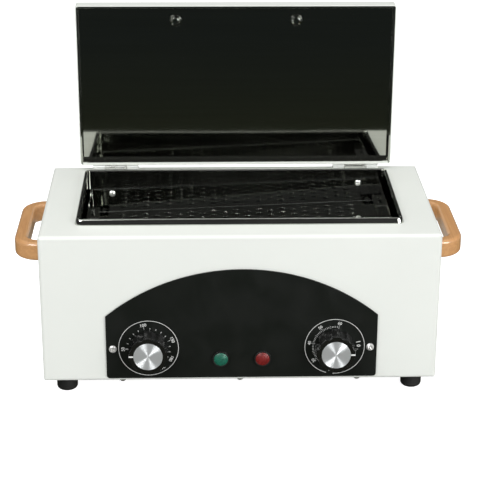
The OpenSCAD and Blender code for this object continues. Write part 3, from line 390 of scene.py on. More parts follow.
class EffectGroups:
    """Shader node groups that the materials share, each made once.

    Each surface method draws the inside of one group. It takes the group's
    sketch, its input sockets and the place on the piece, and returns a Surface.
    """

    # Features in a metre, of the patterns that no finish sets
    CLOUDS, PIPS, HANDLING, SMEARS, SCRATCHES, MIRROR_LINES = 14.0, 160.0, 45.0, 22.0, 420.0, 500.0
    # Radius of a dust pip, as a share of its cell, and its height over the paint's own
    PIP_SHARE, PIP_HEIGHT = 0.045, 1.5
    # Ranges of a noise's values that are drawn out to full contrast
    FIRM, SOFT, SCRATCHED, FLECKED = (0.35, 0.65), (0.3, 0.7), (0.70, 0.74), (0.66, 0.74)
    # Number of growth rings that the wood's figure is cut into
    GROWTH_RINGS = 7.0
    # Depth of the mirror's dish, per metre squared
    DISH = 0.27
    # How scratches lie and how long they are drawn, and the smears between them
    SCRATCH_TURN, SCRATCH_STRETCH = (0.4, 0.7, 0.5), (1.0, 0.02, 1.0)
    SMEARED = (0.35, 0.7)
    # How the mirror's waves and lines are drawn out
    WAVE_STRETCH, LINE_STRETCH = (0.5, 1.0, 1.0), (0.02, 1.0, 1.0)
    # Features of the wood's figure, grain and flecks, to one feature of its size
    FIGURE, GRAIN, FLECKS = 0.22, 2.2, 4.0
    # What the wood's rings and grain add to its shade
    RING_WEIGHT, GRAIN_WEIGHT = 0.55, 0.45

    def __init__(self) -> None:
        """Makes every group."""
        # In Pattern's order
        fills = (self._enamel, self._satin, self._streaked, self._spun, self._wood,
                 self._pebbled, self._fibrous, self._mirror)
        self.made = {pattern: self._group(f"{pattern.value}_surface", fill)
                     for pattern, fill in zip(Pattern, fills, strict=True)}

    @staticmethod
    def _group(name: str, fill: Callable[..., Surface]) -> NodeTree:
        """Makes one group with the sockets that all of them have.

        Args:
            name: the group's name.
            fill: the surface method that draws the inside.

        Returns:
            The finished group.
        """
        group = bpy.data.node_groups.new(name, "ShaderNodeTree")
        for label, kind in (
            ("Size", FLOAT), ("Depth", FLOAT), ("Edge", FLOAT), ("Stretch", VECTOR),
            ("Centre", VECTOR), ("Low", FLOAT), ("High", FLOAT), ("Base", COLOUR),
            ("Shade", COLOUR), ("Share", FLOAT),
        ):
            group.interface.new_socket(label, in_out="INPUT", socket_type=kind)
        for label, kind in (
            ("Color", COLOUR), ("Roughness", FLOAT), ("Normal", VECTOR), ("Tangent", VECTOR),
        ):
            group.interface.new_socket(label, in_out="OUTPUT", socket_type=kind)
        sketch = NodeSketch(group)
        given = sketch.add("NodeGroupInput").outputs
        place = sketch.add("ShaderNodeTexCoord").outputs["Object"]
        shade, rough, height, tangent = fill(sketch, given, place)
        edge = sketch.add("ShaderNodeBevel", {"Radius": given["Edge"]}, samples=4).outputs[0]
        share = sketch.math("MULTIPLY", shade, given["Share"])
        relief = sketch.add("ShaderNodeBump", {
            "Height": height, "Distance": given["Depth"], "Normal": edge,
        })
        result = sketch.add("NodeGroupOutput", {
            "Color": sketch.mixed(share, given["Base"], given["Shade"]),
            "Roughness": sketch.ranged(rough, (0.0, 1.0), given["Low"], given["High"]),
            "Normal": relief.outputs["Normal"],
        })
        if tangent is not None:
            sketch.feed(result, {"Tangent": tangent})
        return group

    @staticmethod
    def _scale(sketch: NodeSketch, given: Sockets, share: float = 1.0) -> NodeSocket:
        """Returns how many of the pattern's features fit in a metre, or a share of them."""
        return sketch.math("DIVIDE", share, given["Size"])

    def _enamel(self, sketch: NodeSketch, given: Sockets, place: NodeSocket) -> Surface:
        """Sprayed paint: orange peel, faint clouds and a few dust pips."""
        peel = sketch.noise(place, self._scale(sketch, given), 1.0)
        clouds = sketch.noise(place, self.CLOUDS, 3.0)
        pips = sketch.add("ShaderNodeTexVoronoi", {"Vector": place, "Scale": self.PIPS}).outputs[0]
        pip = sketch.ranged(pips, (0.0, self.PIP_SHARE), 1.0, 0.0)
        height = sketch.math("ADD", peel, sketch.math("MULTIPLY", pip, self.PIP_HEIGHT))
        return sketch.ranged(clouds, self.FIRM), clouds, height, None

    def _satin(self, sketch: NodeSketch, given: Sockets, place: NodeSocket) -> Surface:
        """Moulded or plated: a fine even grain under broad handling marks."""
        grain = sketch.noise(place, self._scale(sketch, given), 3.0)
        marks = sketch.noise(place, self.HANDLING, 4.0, 0.6)
        shade = sketch.math("MULTIPLY", grain, sketch.ranged(marks, self.SOFT, 0.2))
        return shade, sketch.ranged(marks, self.SOFT), grain, None

    def _streaked(self, sketch: NodeSketch, given: Sockets, place: NodeSocket) -> Surface:
        """Rolled or polished sheet: long fine lines and a few scratches."""
        drawn = sketch.vector("MULTIPLY", place, given["Stretch"])
        lines = sketch.noise(drawn, self._scale(sketch, given), 4.0)
        turned = sketch.add("ShaderNodeMapping", {
            "Vector": place, "Rotation": self.SCRATCH_TURN, "Scale": self.SCRATCH_STRETCH,
        }).outputs[0]
        scratch = sketch.ranged(sketch.noise(turned, self.SCRATCHES, 1.0), self.SCRATCHED)
        smears = sketch.noise(place, self.SMEARS, 3.0, 0.8)
        rough = sketch.math("MAXIMUM", sketch.ranged(smears, self.SMEARED, 0.0, 0.8), scratch)
        height = sketch.math("SUBTRACT", lines, scratch)
        return sketch.ranged(lines, self.FIRM), rough, height, None

    def _mirror(self, sketch: NodeSketch, given: Sockets, place: NodeSocket) -> Surface:
        """Mirror sheet: slightly dished and wavy, with smears and faint lines."""
        arm = sketch.vector("SUBTRACT", place, given["Centre"])
        across = sketch.vector("MULTIPLY", arm, self.WAVE_STRETCH)
        waves = sketch.noise(across, self._scale(sketch, given), 1.0)
        drawn = sketch.vector("MULTIPLY", place, self.LINE_STRETCH)
        lines = sketch.noise(drawn, self.MIRROR_LINES, 3.0)
        smears = sketch.noise(place, self.SMEARS, 3.0, 0.8)
        drop = sketch.add("ShaderNodeSeparateXYZ", {0: arm}).outputs["Z"]
        dish = sketch.math("MULTIPLY", sketch.math("MULTIPLY", drop, drop), self.DISH)
        dish = sketch.math("DIVIDE", dish, given["Depth"])
        height = sketch.math("ADD", dish, waves)
        return sketch.ranged(lines, self.FIRM), smears, height, None

    def _spun(self, sketch: NodeSketch, given: Sockets, place: NodeSocket) -> Surface:
        """Faced on a lathe: fine rings, with highlights drawn across them."""
        arm = sketch.vector("SUBTRACT", place, given["Centre"])
        flat = sketch.vector("MULTIPLY", arm, (1.0, 0.0, 1.0))
        tangent = sketch.vector("NORMALIZE", flat)
        radius = sketch.add("ShaderNodeVectorMath", {0: flat}, operation="LENGTH").outputs["Value"]
        turns = sketch.math("MULTIPLY", radius, self._scale(sketch, given))
        rings = sketch.math("FRACT", turns)
        wander = sketch.noise(sketch.add("ShaderNodeCombineXYZ", {0: turns}).outputs[0], 0.7, 2.0)
        return wander, wander, sketch.math("PINGPONG", rings, 0.5), tangent

    def _wood(self, sketch: NodeSketch, given: Sockets, place: NodeSocket) -> Surface:
        """Varnished beech: growth rings, drawn-out figure and short flecks."""
        drawn = sketch.vector("MULTIPLY", place, given["Stretch"])
        figure = sketch.noise(drawn, self._scale(sketch, given, self.FIGURE), 2.0, 0.5)
        bands = sketch.math("FRACT", sketch.math("MULTIPLY", figure, self.GROWTH_RINGS))
        soft = sketch.ranged(sketch.math("PINGPONG", bands, 0.5), (0.0, 0.5))
        fine = sketch.noise(drawn, self._scale(sketch, given, self.GRAIN), 4.0)
        specks = sketch.noise(drawn, self._scale(sketch, given, self.FLECKS), 0.0)
        fleck = sketch.ranged(specks, self.FLECKED)
        shade = sketch.math("ADD", sketch.math("MULTIPLY", soft, self.RING_WEIGHT),
                            sketch.math("MULTIPLY", fine, self.GRAIN_WEIGHT))
        shade = sketch.math("MAXIMUM", shade, fleck)
        return shade, fine, sketch.math("SUBTRACT", fine, fleck), None

    def _pebbled(self, sketch: NodeSketch, given: Sockets, place: NodeSocket) -> Surface:
        """Lens moulded with small prisms on its inside."""
        cells = sketch.add("ShaderNodeTexVoronoi", {
            "Vector": place, "Scale": self._scale(sketch, given),
        }).outputs[0]
        mottle = sketch.noise(place, self._scale(sketch, given, 0.5), 2.0)
        shade = sketch.math("MULTIPLY", sketch.ranged(cells, (0.1, 0.7)),
                            sketch.ranged(mottle, self.SOFT, 0.3, 1.2))
        return shade, cells, cells, None

    def _fibrous(self, sketch: NodeSketch, given: Sockets, place: NodeSocket) -> Surface:
        """Matted mineral fibre."""
        mat = sketch.noise(place, self._scale(sketch, given), 6.0, 2.0)
        clump = sketch.noise(place, self._scale(sketch, given, 0.3), 3.0, 1.0)
        return sketch.math("MULTIPLY", mat, clump), mat, sketch.math("ADD", mat, clump), None


def blank_material(name: str) -> tuple[Material, NodeSketch]:
    """Makes a material with Blender's first nodes.

    Args:
        name: its name.

    Returns:
        The material and a sketch of its nodes.
    """
    material = bpy.data.materials.new(name)
    material.use_nodes = True
    return material, NodeSketch(material.node_tree)


class MaterialShop:
    """Makes each finish's material once and hands it out.

    Args:
        groups: the shared shader groups.
    """

    def __init__(self, groups: EffectGroups) -> None:
        """Starts with no material made."""
        self.groups = groups
        self.made: dict[str, Material] = {}

    def get(self, name: str) -> Material:
        """Returns the material of a finish.

        Args:
            name: a key of FINISHES.

        Returns:
            The material.
        """
        if name not in self.made:
            self.made[name] = self._make(name, FINISHES[name])
            LOG.info("material %s", name)
        return self.made[name]

    def _make(self, name: str, finish: Finish) -> Material:
        """Builds one material.

        Args:
            name: its name.
            finish: its finish.

        Returns:
            The material.
        """
        material, sketch = blank_material(name)
        base = (*finish.base, 1.0)
        effect = sketch.add("ShaderNodeGroup", {
            "Size": finish.size, "Depth": finish.depth, "Edge": finish.edge,
            "Stretch": finish.stretch, "Centre": finish.centre, "Low": finish.roughness[0],
            "High": finish.roughness[1], "Base": base,
            "Shade": (*finish.shade, 1.0) if finish.shade else base,
            "Share": finish.shade_share,
        }, node_tree=self.groups.made[finish.pattern])
        given = {
            "Metallic": finish.metallic, "Specular IOR Level": finish.specular,
            "Coat Weight": finish.coat, "Coat Roughness": finish.coat_roughness,
            "Anisotropic": finish.anisotropy, "Base Color": effect.outputs["Color"],
            "Roughness": effect.outputs["Roughness"], "Normal": effect.outputs["Normal"],
        }
        if finish.pattern is Pattern.SPUN:
            given["Tangent"] = effect.outputs["Tangent"]
        sketch.feed(material.node_tree.nodes["Principled BSDF"], given)
        return material


@dataclass(frozen=True)
class Mark:
    """One number or sign on a dial.

    Args:
        text: what it says.
        angle: degrees clockwise from the top.
        radius: distance of its middle from the dial's middle.
        height: height of its letters.
        bold: how much wider each stroke gets on either side.
    """

    text: str
    angle: float
    radius: float = 0.0199
    height: float = 0.0025
    bold: float = 0.00004


@dataclass(frozen=True)
class TickRun:
    """Evenly spaced ticks along a dial.

    Args:
        first: angle of the first tick, degrees clockwise from the top.
        last: angle of the last one.
        count: number of ticks.
        radius: distance of their middles from the dial's middle.
        length: length of a tick.
        width: width of a tick.
    """

    first: float
    last: float
    count: int
    radius: float
    length: float
    width: float


@dataclass(frozen=True)
class DialPlan:
    """Everything printed round one knob.

    Args:
        piece: name of the finished piece.
        centre: the dial's middle on the panel's face.
        ticks: runs of ticks.
        marks: numbers and signs.
        ring_from: angle where the ring starts, degrees clockwise from the top.
        ring_to: angle where it ends.
        ring_radius: radius of the ring's middle line.
        ring_width: width of the ring's line.
        film: thickness of the print.
    """

    piece: str
    centre: Point
    ticks: list[TickRun]
    marks: list[Mark]
    ring_from: float = 0.0
    ring_to: float = 360.0
    ring_radius: float = 0.0234
    ring_width: float = 0.0004
    film: float = 0.00004


class TickNodes:
    """A Geometry Nodes group that lays ticks along an arc."""

    def __init__(self) -> None:
        """Makes the group and keeps its inputs' identifiers."""
        group = bpy.data.node_groups.new("ticks_along_an_arc", "GeometryNodeTree")
        self.group = group
        self.sockets: dict[str, str] = {}
        group.interface.new_socket("Geometry", in_out="OUTPUT", socket_type="NodeSocketGeometry")
        for label, kind in (
            ("Count", "NodeSocketInt"), ("First Angle", FLOAT), ("Last Angle", FLOAT),
            ("Radius", FLOAT), ("Tick Size", VECTOR), ("Material", "NodeSocketMaterial"),
        ):
            made = group.interface.new_socket(label, in_out="INPUT", socket_type=kind)
            self.sockets[label] = made.identifier
        self._draw(NodeSketch(group))

    @staticmethod
    def _draw(sketch: NodeSketch) -> None:
        """Draws the group's nodes.

        Args:
            sketch: the group's sketch.
        """
        given = sketch.add("NodeGroupInput").outputs
        line = sketch.add("GeometryNodeMeshLine", {
            "Count": given["Count"], "Offset": (0.0, 0.0, 0.0),
        })
        steps = sketch.math("MAXIMUM", sketch.math("SUBTRACT", given["Count"], 1.0), 1.0)
        share = sketch.math("DIVIDE", sketch.add("GeometryNodeInputIndex").outputs[0], steps)
        span = sketch.math("SUBTRACT", given["Last Angle"], given["First Angle"])
        angle = sketch.math("MULTIPLY_ADD", share, span, given["First Angle"])
        across = sketch.math("MULTIPLY", sketch.math("SINE", angle), given["Radius"])
        up = sketch.math("MULTIPLY", sketch.math("COSINE", angle), given["Radius"])
        place = sketch.add("ShaderNodeCombineXYZ", {"X": across, "Z": up}).outputs[0]
        turn = sketch.add("ShaderNodeCombineXYZ", {"Y": angle}).outputs[0]
        points = sketch.add("GeometryNodeSetPosition", {
            "Geometry": line.outputs[0], "Position": place,
        })
        tick = sketch.add("GeometryNodeMeshCube", {"Size": given["Tick Size"]})
        copies = sketch.add("GeometryNodeInstanceOnPoints", {
            "Points": points.outputs[0], "Instance": tick.outputs[0], "Rotation": turn,
        })
        real = sketch.add("GeometryNodeRealizeInstances", {"Geometry": copies.outputs[0]})
        painted = sketch.add("GeometryNodeSetMaterial", {
            "Geometry": real.outputs[0], "Material": given["Material"],
        })
        sketch.add("NodeGroupOutput", {"Geometry": painted.outputs[0]})

    def mesh(self, run: TickRun, film: float, material: Material) -> Mesh:
        """Lays one run of ticks and returns it as a plain mesh.

        Args:
            run: the ticks to lay.
            film: thickness of the print.
            material: the print's material.

        Returns:
            A mesh round the dial's middle, Y towards the back.
        """
        carrier = placed("tick_carrier", bpy.data.meshes.new("tick_carrier"))
        modifier = carrier.modifiers.new("ticks", "NODES")
        modifier.node_group = self.group
        values = {
            "Count": run.count, "First Angle": math.radians(run.first),
            "Last Angle": math.radians(run.last), "Radius": run.radius,
            "Tick Size": (run.width, film, run.length), "Material": material,
        }
        for label, value in values.items():
            modifier[self.sockets[label]] = value
        return baked(carrier)


class Builder:
    """Builds pieces of one finish, printed ones unless it says otherwise.

    Args:
        shop: where materials come from.
    """

    FINISH = "white_print"
    SLOT = PRINT_SLOT
    # Whether the faces shade as one round surface
    SMOOTH = False

    def __init__(self, shop: MaterialShop) -> None:
        """Takes the finish's material."""
        self.material = shop.get(self.FINISH)

    def finished(self, form: Form, name: str, body: str = "case") -> Object:
        """Turns a finished form into a piece that rides on a body.

        Args:
            form: the piece's mesh in the row frame. It is freed.
            name: the piece's name.
            body: the CAD body that it rides on.

        Returns:
            The piece.
        """
        bmesh.ops.recalc_face_normals(form, faces=form.faces)
        mesh = mesh_of(form, name)
        mesh.materials.append(self.material)
        for polygon in mesh.polygons:
            polygon.material_index = 0
            polygon.use_smooth = self.SMOOTH
        piece = placed(name, mesh)
        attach(piece, body)
        LOG.info("piece %s: %d faces on %s", name, len(mesh.polygons), body)
        return piece


class DialPrinter(Builder):
    """Builds the printed scales on the control panel."""

    # Degrees between two points of the ring
    RING_STEP = 3.0

    def __init__(self, shop: MaterialShop) -> None:
        """Takes the print's material and makes the group of ticks."""
        super().__init__(shop)
        self.tick_nodes = TickNodes()

    def build(self, plan: DialPlan) -> None:
        """Builds one dial's print as one piece on the case.

        Args:
            plan: what the dial shows.
        """
        form = bmesh.new()
        self._ring(form, plan)
        for run in plan.ticks:
            absorb(form, self.tick_nodes.mesh(run, plan.film, self.material), Matrix())
        for mark in plan.marks:
            self._letters(form, mark, plan.film)
        front = Vector(plan.centre) - Vector((0.0, plan.film / 2, 0.0))
        bmesh.ops.translate(form, vec=front, verts=form.verts)
        self.finished(form, plan.piece)

    def _ring(self, form: Form, plan: DialPlan) -> None:
        """Adds the ring, as a thin closed band.

        Args:
            form: the print that grows.
            plan: what the dial shows.
        """
        span = plan.ring_to - plan.ring_from
        steps = round(span / self.RING_STEP)
        closed = span >= 360.0
        rows = []
        for i in range(steps + (0 if closed else 1)):
            angle = math.radians(plan.ring_from + i * span / steps)
            rows.append([
                form.verts.new((
                    math.sin(angle) * (plan.ring_radius + side * plan.ring_width / 2),
                    depth * plan.film / 2,
                    math.cos(angle) * (plan.ring_radius + side * plan.ring_width / 2),
                ))
                for side, depth in ((-1, -1), (1, -1), (1, 1), (-1, 1))
            ])
        loft(form, rows, closed)

    def _letters(self, form: Form, mark: Mark, film: float) -> None:
        """Adds one number, its foot towards the dial's middle.

        Args:
            form: the print that grows.
            mark: the number.
            film: thickness of the print.
        """
        curve = bpy.data.curves.new("dial_number", "FONT")
        curve.body = mark.text
        curve.size = mark.height / CAPITAL_SHARE
        curve.align_x = curve.align_y = "CENTER"
        curve.extrude = film / 2
        curve.offset = mark.bold
        curve.resolution_u = 3
        angle = math.radians(mark.angle)
        place = Vector((math.sin(angle), 0.0, math.cos(angle))) * mark.radius
        upright = Matrix.Rotation(math.radians(90.0), 4, "X")
        absorb(form, baked(placed("dial_number", curve)),
               Matrix.Translation(place) @ Matrix.Rotation(angle, 4, "Y") @ upright)


def placed(name: str, data: bpy.types.ID) -> Object:
    """Makes an object and links it to the scene.

    Args:
        name: its name.
        data: its mesh, curve, lamp or camera.

    Returns:
        The object.
    """
    made = bpy.data.objects.new(name, data)
    bpy.context.scene.collection.objects.link(made)
    return made


def baked(carrier: Object) -> Mesh:
    """Takes an object's final mesh and removes the object.

    Args:
        carrier: the object, with its modifiers.

    Returns:
        The mesh.
    """
    scene_graph = bpy.context.evaluated_depsgraph_get()
    mesh = bpy.data.meshes.new_from_object(carrier.evaluated_get(scene_graph))
    bpy.data.objects.remove(carrier)
    return mesh


def absorb(form: Form, mesh: Mesh, matrix: Matrix) -> None:
    """Adds a mesh to a form, moved by a matrix, and throws the mesh away.

    Args:
        form: the form that grows.
        mesh: the mesh.
        matrix: how it is moved.
    """
    mesh.transform(matrix)
    form.from_mesh(mesh)
    bpy.data.meshes.remove(mesh)


def mesh_of(form: Form, name: str) -> Mesh:
    """Turns a form into a mesh and frees the form.

    Args:
        form: the form.
        name: the mesh's name.

    Returns:
        The mesh.
    """
    mesh = bpy.data.meshes.new(name)
    form.to_mesh(mesh)
    form.free()
    return mesh


def loft(form: Form, rows: Sequence[Sequence], closed: bool) -> None:
    """Joins rows of vertices into a skin, and caps its ends if it is open.

    Args:
        form: where the vertices are.
        rows: loops of vertices, all of one length.
        closed: whether the last row joins the first.
    """
    pairs = list(zip(rows, rows[1:])) + ([(rows[-1], rows[0])] if closed else [])
    for near, far in pairs:
        for i in range(len(near)):
            j = (i + 1) % len(near)
            form.faces.new((near[i], near[j], far[j], far[i]))
    if not closed:
        form.faces.new(list(reversed(rows[0])))
        form.faces.new(rows[-1])


@dataclass(frozen=True)
class PointerPlan:
    """The white line inlaid in one knob.

    Args:
        piece: name of the finished piece.
        knob: the knob's CAD node.
        body: the body that the knob belongs to.
        centre: point on the knob's axis.
        angle: where it points at rest, degrees clockwise from the top.
        start: distance of its inner end from the axis.
        width: width of the line.
        film: how far it stands proud.
        down_side: how far it runs down the knob's side.
    """

    piece: str
    knob: str
    body: str
    centre: Point
    angle: float
    start: float = 0.01145
    width: float = 0.0012
    film: float = 0.00006
    down_side: float = 0.0042


class PointerBuilder(Builder):
    """Builds the knobs' pointer lines."""

    # Radius of a knob's face, and how much the knob widens per metre behind it
    FACE_RADIUS = 0.0149
    SIDE_SLOPE = 0.054

    def build(self, plan: PointerPlan) -> None:
        """Builds one line, over the knob's face and down its side.

        Args:
            plan: where the line runs.
        """
        face_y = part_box(plan.knob)[0].y
        edge = self.FACE_RADIUS
        foot = edge + plan.down_side * self.SIDE_SLOPE
        outline = [
            (plan.start, 0.0), (plan.start, -plan.film), (edge + plan.film, -plan.film),
            (foot + plan.film, plan.down_side), (foot, plan.down_side), (edge, 0.0),
        ]
        turn = Matrix.Rotation(math.radians(plan.angle), 4, "Y")
        form = bmesh.new()
        rows = []
        for side in (-1, 1):
            rows.append([
                form.verts.new(turn @ Vector((side * plan.width / 2, y, r))) for r, y in outline
            ])
        loft(form, rows, False)
        middle = Vector((plan.centre[0], face_y, plan.centre[2]))
        bmesh.ops.translate(form, vec=middle, verts=form.verts)
        self.finished(form, plan.piece, plan.body)


@dataclass(frozen=True)
class CollarPlan:
    """The polished roll that covers the outside of the chamber's collar.

    Args:
        piece: name of the finished piece.
        liner: the CAD node whose collar it covers.
        housing: the CAD node that its foot stands on.
        corner: radius of the collar's outer corners.
        foot: how far the foot stands out from the collar.
        shoulder: how far out the section's shoulder is.
        lap: how far it laps inwards over the collar's top.
        proud: how far its top stands above the collar's.
        section_steps: number of points along the outer side.
        corner_steps: number of steps round each corner.
    """

    piece: str = "chamber_collar_roll"
    liner: str = "chamber_liner"
    housing: str = "housing"
    corner: float = 0.004
    foot: float = 0.0019
    shoulder: float = 0.0009
    lap: float = 0.0008
    proud: float = 0.0001
    section_steps: int = 12
    corner_steps: int = 10


class CollarBuilder(Builder):
    """Builds the chamber's rolled collar."""

    FINISH = SLOT = "polished_steel"
    SMOOTH = True

    def build(self, plan: CollarPlan) -> None:
        """Builds the roll round the chamber's mouth.

        Args:
            plan: the roll's sizes.
        """
        low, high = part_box(plan.liner)
        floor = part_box(plan.housing)[1].z
        section = self._section(plan, high.z + plan.proud - floor)
        form = bmesh.new()
        rows = []
        for quarter, (x, y) in enumerate((
            (high.x, high.y), (low.x, high.y), (low.x, low.y), (high.x, low.y),
        )):
            inwards = Vector((math.copysign(plan.corner, -x),
                              plan.corner if y == low.y else -plan.corner))
            middle = Vector((x, y)) + inwards
            for step in range(plan.corner_steps + 1):
                angle = math.radians(90.0 * (quarter + step / plan.corner_steps))
                outwards = Vector((math.cos(angle), math.sin(angle)))
                rows.append([
                    form.verts.new((*(middle + outwards * (plan.corner + out)), floor + up))
                    for out, up in section
                ])
        loft(form, rows, True)
        self.finished(form, plan.piece)

    @staticmethod
    def _section(plan: CollarPlan, height: float) -> list[tuple[float, float]]:
        """Draws the roll's section.

        Args:
            plan: the roll's sizes.
            height: of the roll, from its foot.

        Returns:
            Points, each a distance outwards and a height.
        """
        points = [(-plan.lap, 0.0), (-plan.lap, height)]
        for step in range(plan.section_steps + 1):
            t = step / plan.section_steps
            out = 2 * t * (1 - t) * plan.shoulder + t * t * plan.foot
            up = (1 - t) ** 2 * height + 2 * t * (1 - t) * height
            points.append((out, up))
        return points


@dataclass(frozen=True)
class CrossPlan:
    """Cross recesses in the heads of a row of two screws.

    Args:
        piece: name of the finished piece.
        node: the CAD node that it replaces.
        head_radius: radius of a head.
        span: length of the cross's arms, from tip to tip.
        slot: width of an arm.
        sink: depth of the recess below the head's top.
        turns: how far each cross is turned, in degrees.
    """

    piece: str = "panel_screw_heads"
    node: str = "panel_screws"
    head_radius: float = 0.003
    span: float = 0.004
    slot: float = 0.0012
    sink: float = 0.0014
    turns: tuple[float, float] = (20.0, 38.0)


class CrossCutter(Builder):
    """Cuts cross recesses into screws."""

    # The screw heads take the paler copy of the zinc steel, whose paleness is painted sheen
    FINISH = "painted_sheen_screw"
    SLOT = "zinc_steel"

    def build(self, plan: CrossPlan, node: Object) -> None:
        """Copies a node's screws, cuts a cross into each head and replaces the node.

        Args:
            plan: the crosses.
            node: the CAD node.
        """
        low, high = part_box(plan.node)
        height = (low.z + high.z) / 2
        arms = bmesh.new()
        for x, turn in zip((low.x + plan.head_radius, high.x - plan.head_radius), plan.turns):
            for quarter in (0.0, 90.0):
                place = (Matrix.Translation((x, low.y, height))
                         @ Matrix.Rotation(math.radians(turn + quarter), 4, "Y")
                         @ Matrix.Diagonal((plan.span, 2 * plan.sink, plan.slot, 1.0)))
                bmesh.ops.create_cube(arms, size=1.0, matrix=place)
        cutter = placed("cross_cutter", mesh_of(arms, "cross_cutter"))
        screws = placed("cut_screws", node.data.copy())
        cut = screws.modifiers.new("crosses", "BOOLEAN")
        cut.operation = "DIFFERENCE"
        cut.object = cutter
        cut.solver = "EXACT"
        cut.use_self = True
        form = bmesh.new()
        absorb(form, baked(screws), Matrix())
        bpy.data.objects.remove(cutter)
        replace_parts(self.finished(form, plan.piece), plan.node)


class FrameDresser:
    """Gives every CAD node its material.

    Args:
        shop: where materials come from.
    """

    def __init__(self, frame: dict, shop: MaterialShop) -> None:
        """Keeps the nodes, and the slots that the record gives them."""
        self.nodes = frame["nodes"]
        self.slots = {s["node"]: s["material_slot"] for s in frame["record"]["subparts"]}
        self.shop = shop

    def dress(self) -> None:
        """Sets one material on each node."""
        for name, node in self.nodes.items():
            material = self.shop.get(OWN_FINISH.get(name, self.slots[name]))
            node.data.materials.clear()
            node.data.materials.append(material)
            LOG.info("node %s: %s", name, material.name)


@dataclass(frozen=True)
class Softbox:
    """One soft light.

    Args:
        name: its name.
        place: where it hangs.
        size: its width and height.
        power: in watts.
    """

    name: str
    place: Point
    size: tuple[float, float]
    power: float


@dataclass(frozen=True)
class Card:
    """A glowing card that only shows in reflections, where it is a painted reflection.

    Args:
        name: its name.
        corners: its four corners.
        shade: how bright it looks at its near end, linear.
        far_shade: how bright it looks at its far end, where that differs.
        near: distance in front of the object where the near shade ends.
        far: distance where the far shade starts.
    """

    name: str
    corners: tuple[Point, Point, Point, Point]
    shade: Colour
    far_shade: Colour | None = None
    near: float = 0.0
    far: float = 1.0


class Studio:
    """White floor and surroundings, soft lights, and cards for the mirrors."""

    FLOOR_HALF = 6.0
    FLOOR_SHADE = 0.6
    # What the camera sees of the floor besides its shadow
    FLOOR_GLOW = 0.94
    # The surroundings as light, and as mirrors see them
    SKY = 0.66
    SKY_IN_MIRRORS = 0.045
    # The point that the lights face
    AIM = Vector((0.0, 0.0, 0.1))

    def build(self, lights: Iterable[Softbox], cards: Iterable[Card]) -> None:
        """Builds the whole setting.

        Args:
            lights: the softboxes.
            cards: the cards.
        """
        self._world()
        self._floor()
        for light in lights:
            self._softbox(light)
        for card in cards:
            self._card(card)

    @staticmethod
    def _grey(value: float) -> tuple[float, float, float, float]:
        """Returns a grey for a colour socket."""
        return (value, value, value, 1.0)

    def _world(self) -> None:
        """Surroundings: white to the eye, pale as light, dark in mirrors."""
        world = bpy.data.worlds.new("surroundings")
        world.use_nodes = True
        bpy.context.scene.world = world
        sketch = NodeSketch(world.node_tree)
        path = sketch.add("ShaderNodeLightPath").outputs
        lit = sketch.mixed(path["Is Glossy Ray"], self._grey(self.SKY),
                           self._grey(self.SKY_IN_MIRRORS))
        seen = sketch.mixed(path["Is Camera Ray"], lit, self._grey(1.0))
        sketch.feed(world.node_tree.nodes["Background"], {"Color": seen})

    def _floor(self) -> None:
        """A plain white floor that keeps a faint contact shadow."""
        half = self.FLOOR_HALF
        floor = flat_sheet("floor", ((-half, -half, 0.0), (half, -half, 0.0),
                                     (half, half, 0.0), (-half, half, 0.0)))
        material, sketch = blank_material("floor_white")
        seen = sketch.add("ShaderNodeLightPath").outputs["Is Camera Ray"]
        sketch.feed(material.node_tree.nodes["Principled BSDF"], {
            "Base Color": self._grey(self.FLOOR_SHADE), "Roughness": 0.9,
            "Specular IOR Level": 0.0, "Emission Color": self._grey(1.0),
            "Emission Strength": sketch.math("MULTIPLY", seen, self.FLOOR_GLOW),
        })
        floor.data.materials.append(material)

    def _softbox(self, light: Softbox) -> None:
        """Hangs one softbox.

        Args:
            light: the softbox.
        """
        lamp = bpy.data.lights.new(light.name, "AREA")
        lamp.shape = "RECTANGLE"
        lamp.size, lamp.size_y = light.size
        lamp.energy = light.power
        holder = placed(light.name, lamp)
        holder.location = light.place
        holder.visible_camera = False
        aim = self.AIM - Vector(light.place)
        holder.rotation_mode = "QUATERNION"
        holder.rotation_quaternion = aim.to_track_quat("-Z", "Y")
        LOG.info("light %s", light.name)

    @staticmethod
    def _card(card: Card) -> None:
        """Sets up one card, seen by reflections only.

        Args:
            card: the card.
        """
        sheet = flat_sheet(card.name, card.corners)
        material, sketch = blank_material(card.name)
        place = sketch.add("ShaderNodeTexCoord").outputs["Object"]
        depth = sketch.add("ShaderNodeSeparateXYZ", {0: place}).outputs["Y"]
        share = sketch.ranged(depth, (-card.near, -card.far))
        far_shade = card.far_shade or card.shade
        shade = sketch.mixed(share, (*card.shade, 1.0), (*far_shade, 1.0))
        glow = sketch.add("ShaderNodeEmission", {"Color": shade})
        sketch.feed(material.node_tree.nodes["Material Output"], {"Surface": glow.outputs[0]})
        sheet.data.materials.append(material)
        for ray in ("camera", "diffuse", "transmission", "volume_scatter", "shadow"):
            setattr(sheet, f"visible_{ray}", False)
        LOG.info("card %s", card.name)


def flat_sheet(name: str, corners: Sequence[Point]) -> Object:
    """Makes a flat four-cornered sheet.

    Args:
        name: its name.
        corners: its corners, in order.

    Returns:
        The object.
    """
    mesh = bpy.data.meshes.new(name)
    mesh.from_pydata(corners, [], [(0, 1, 2, 3)])
    return placed(name, mesh)


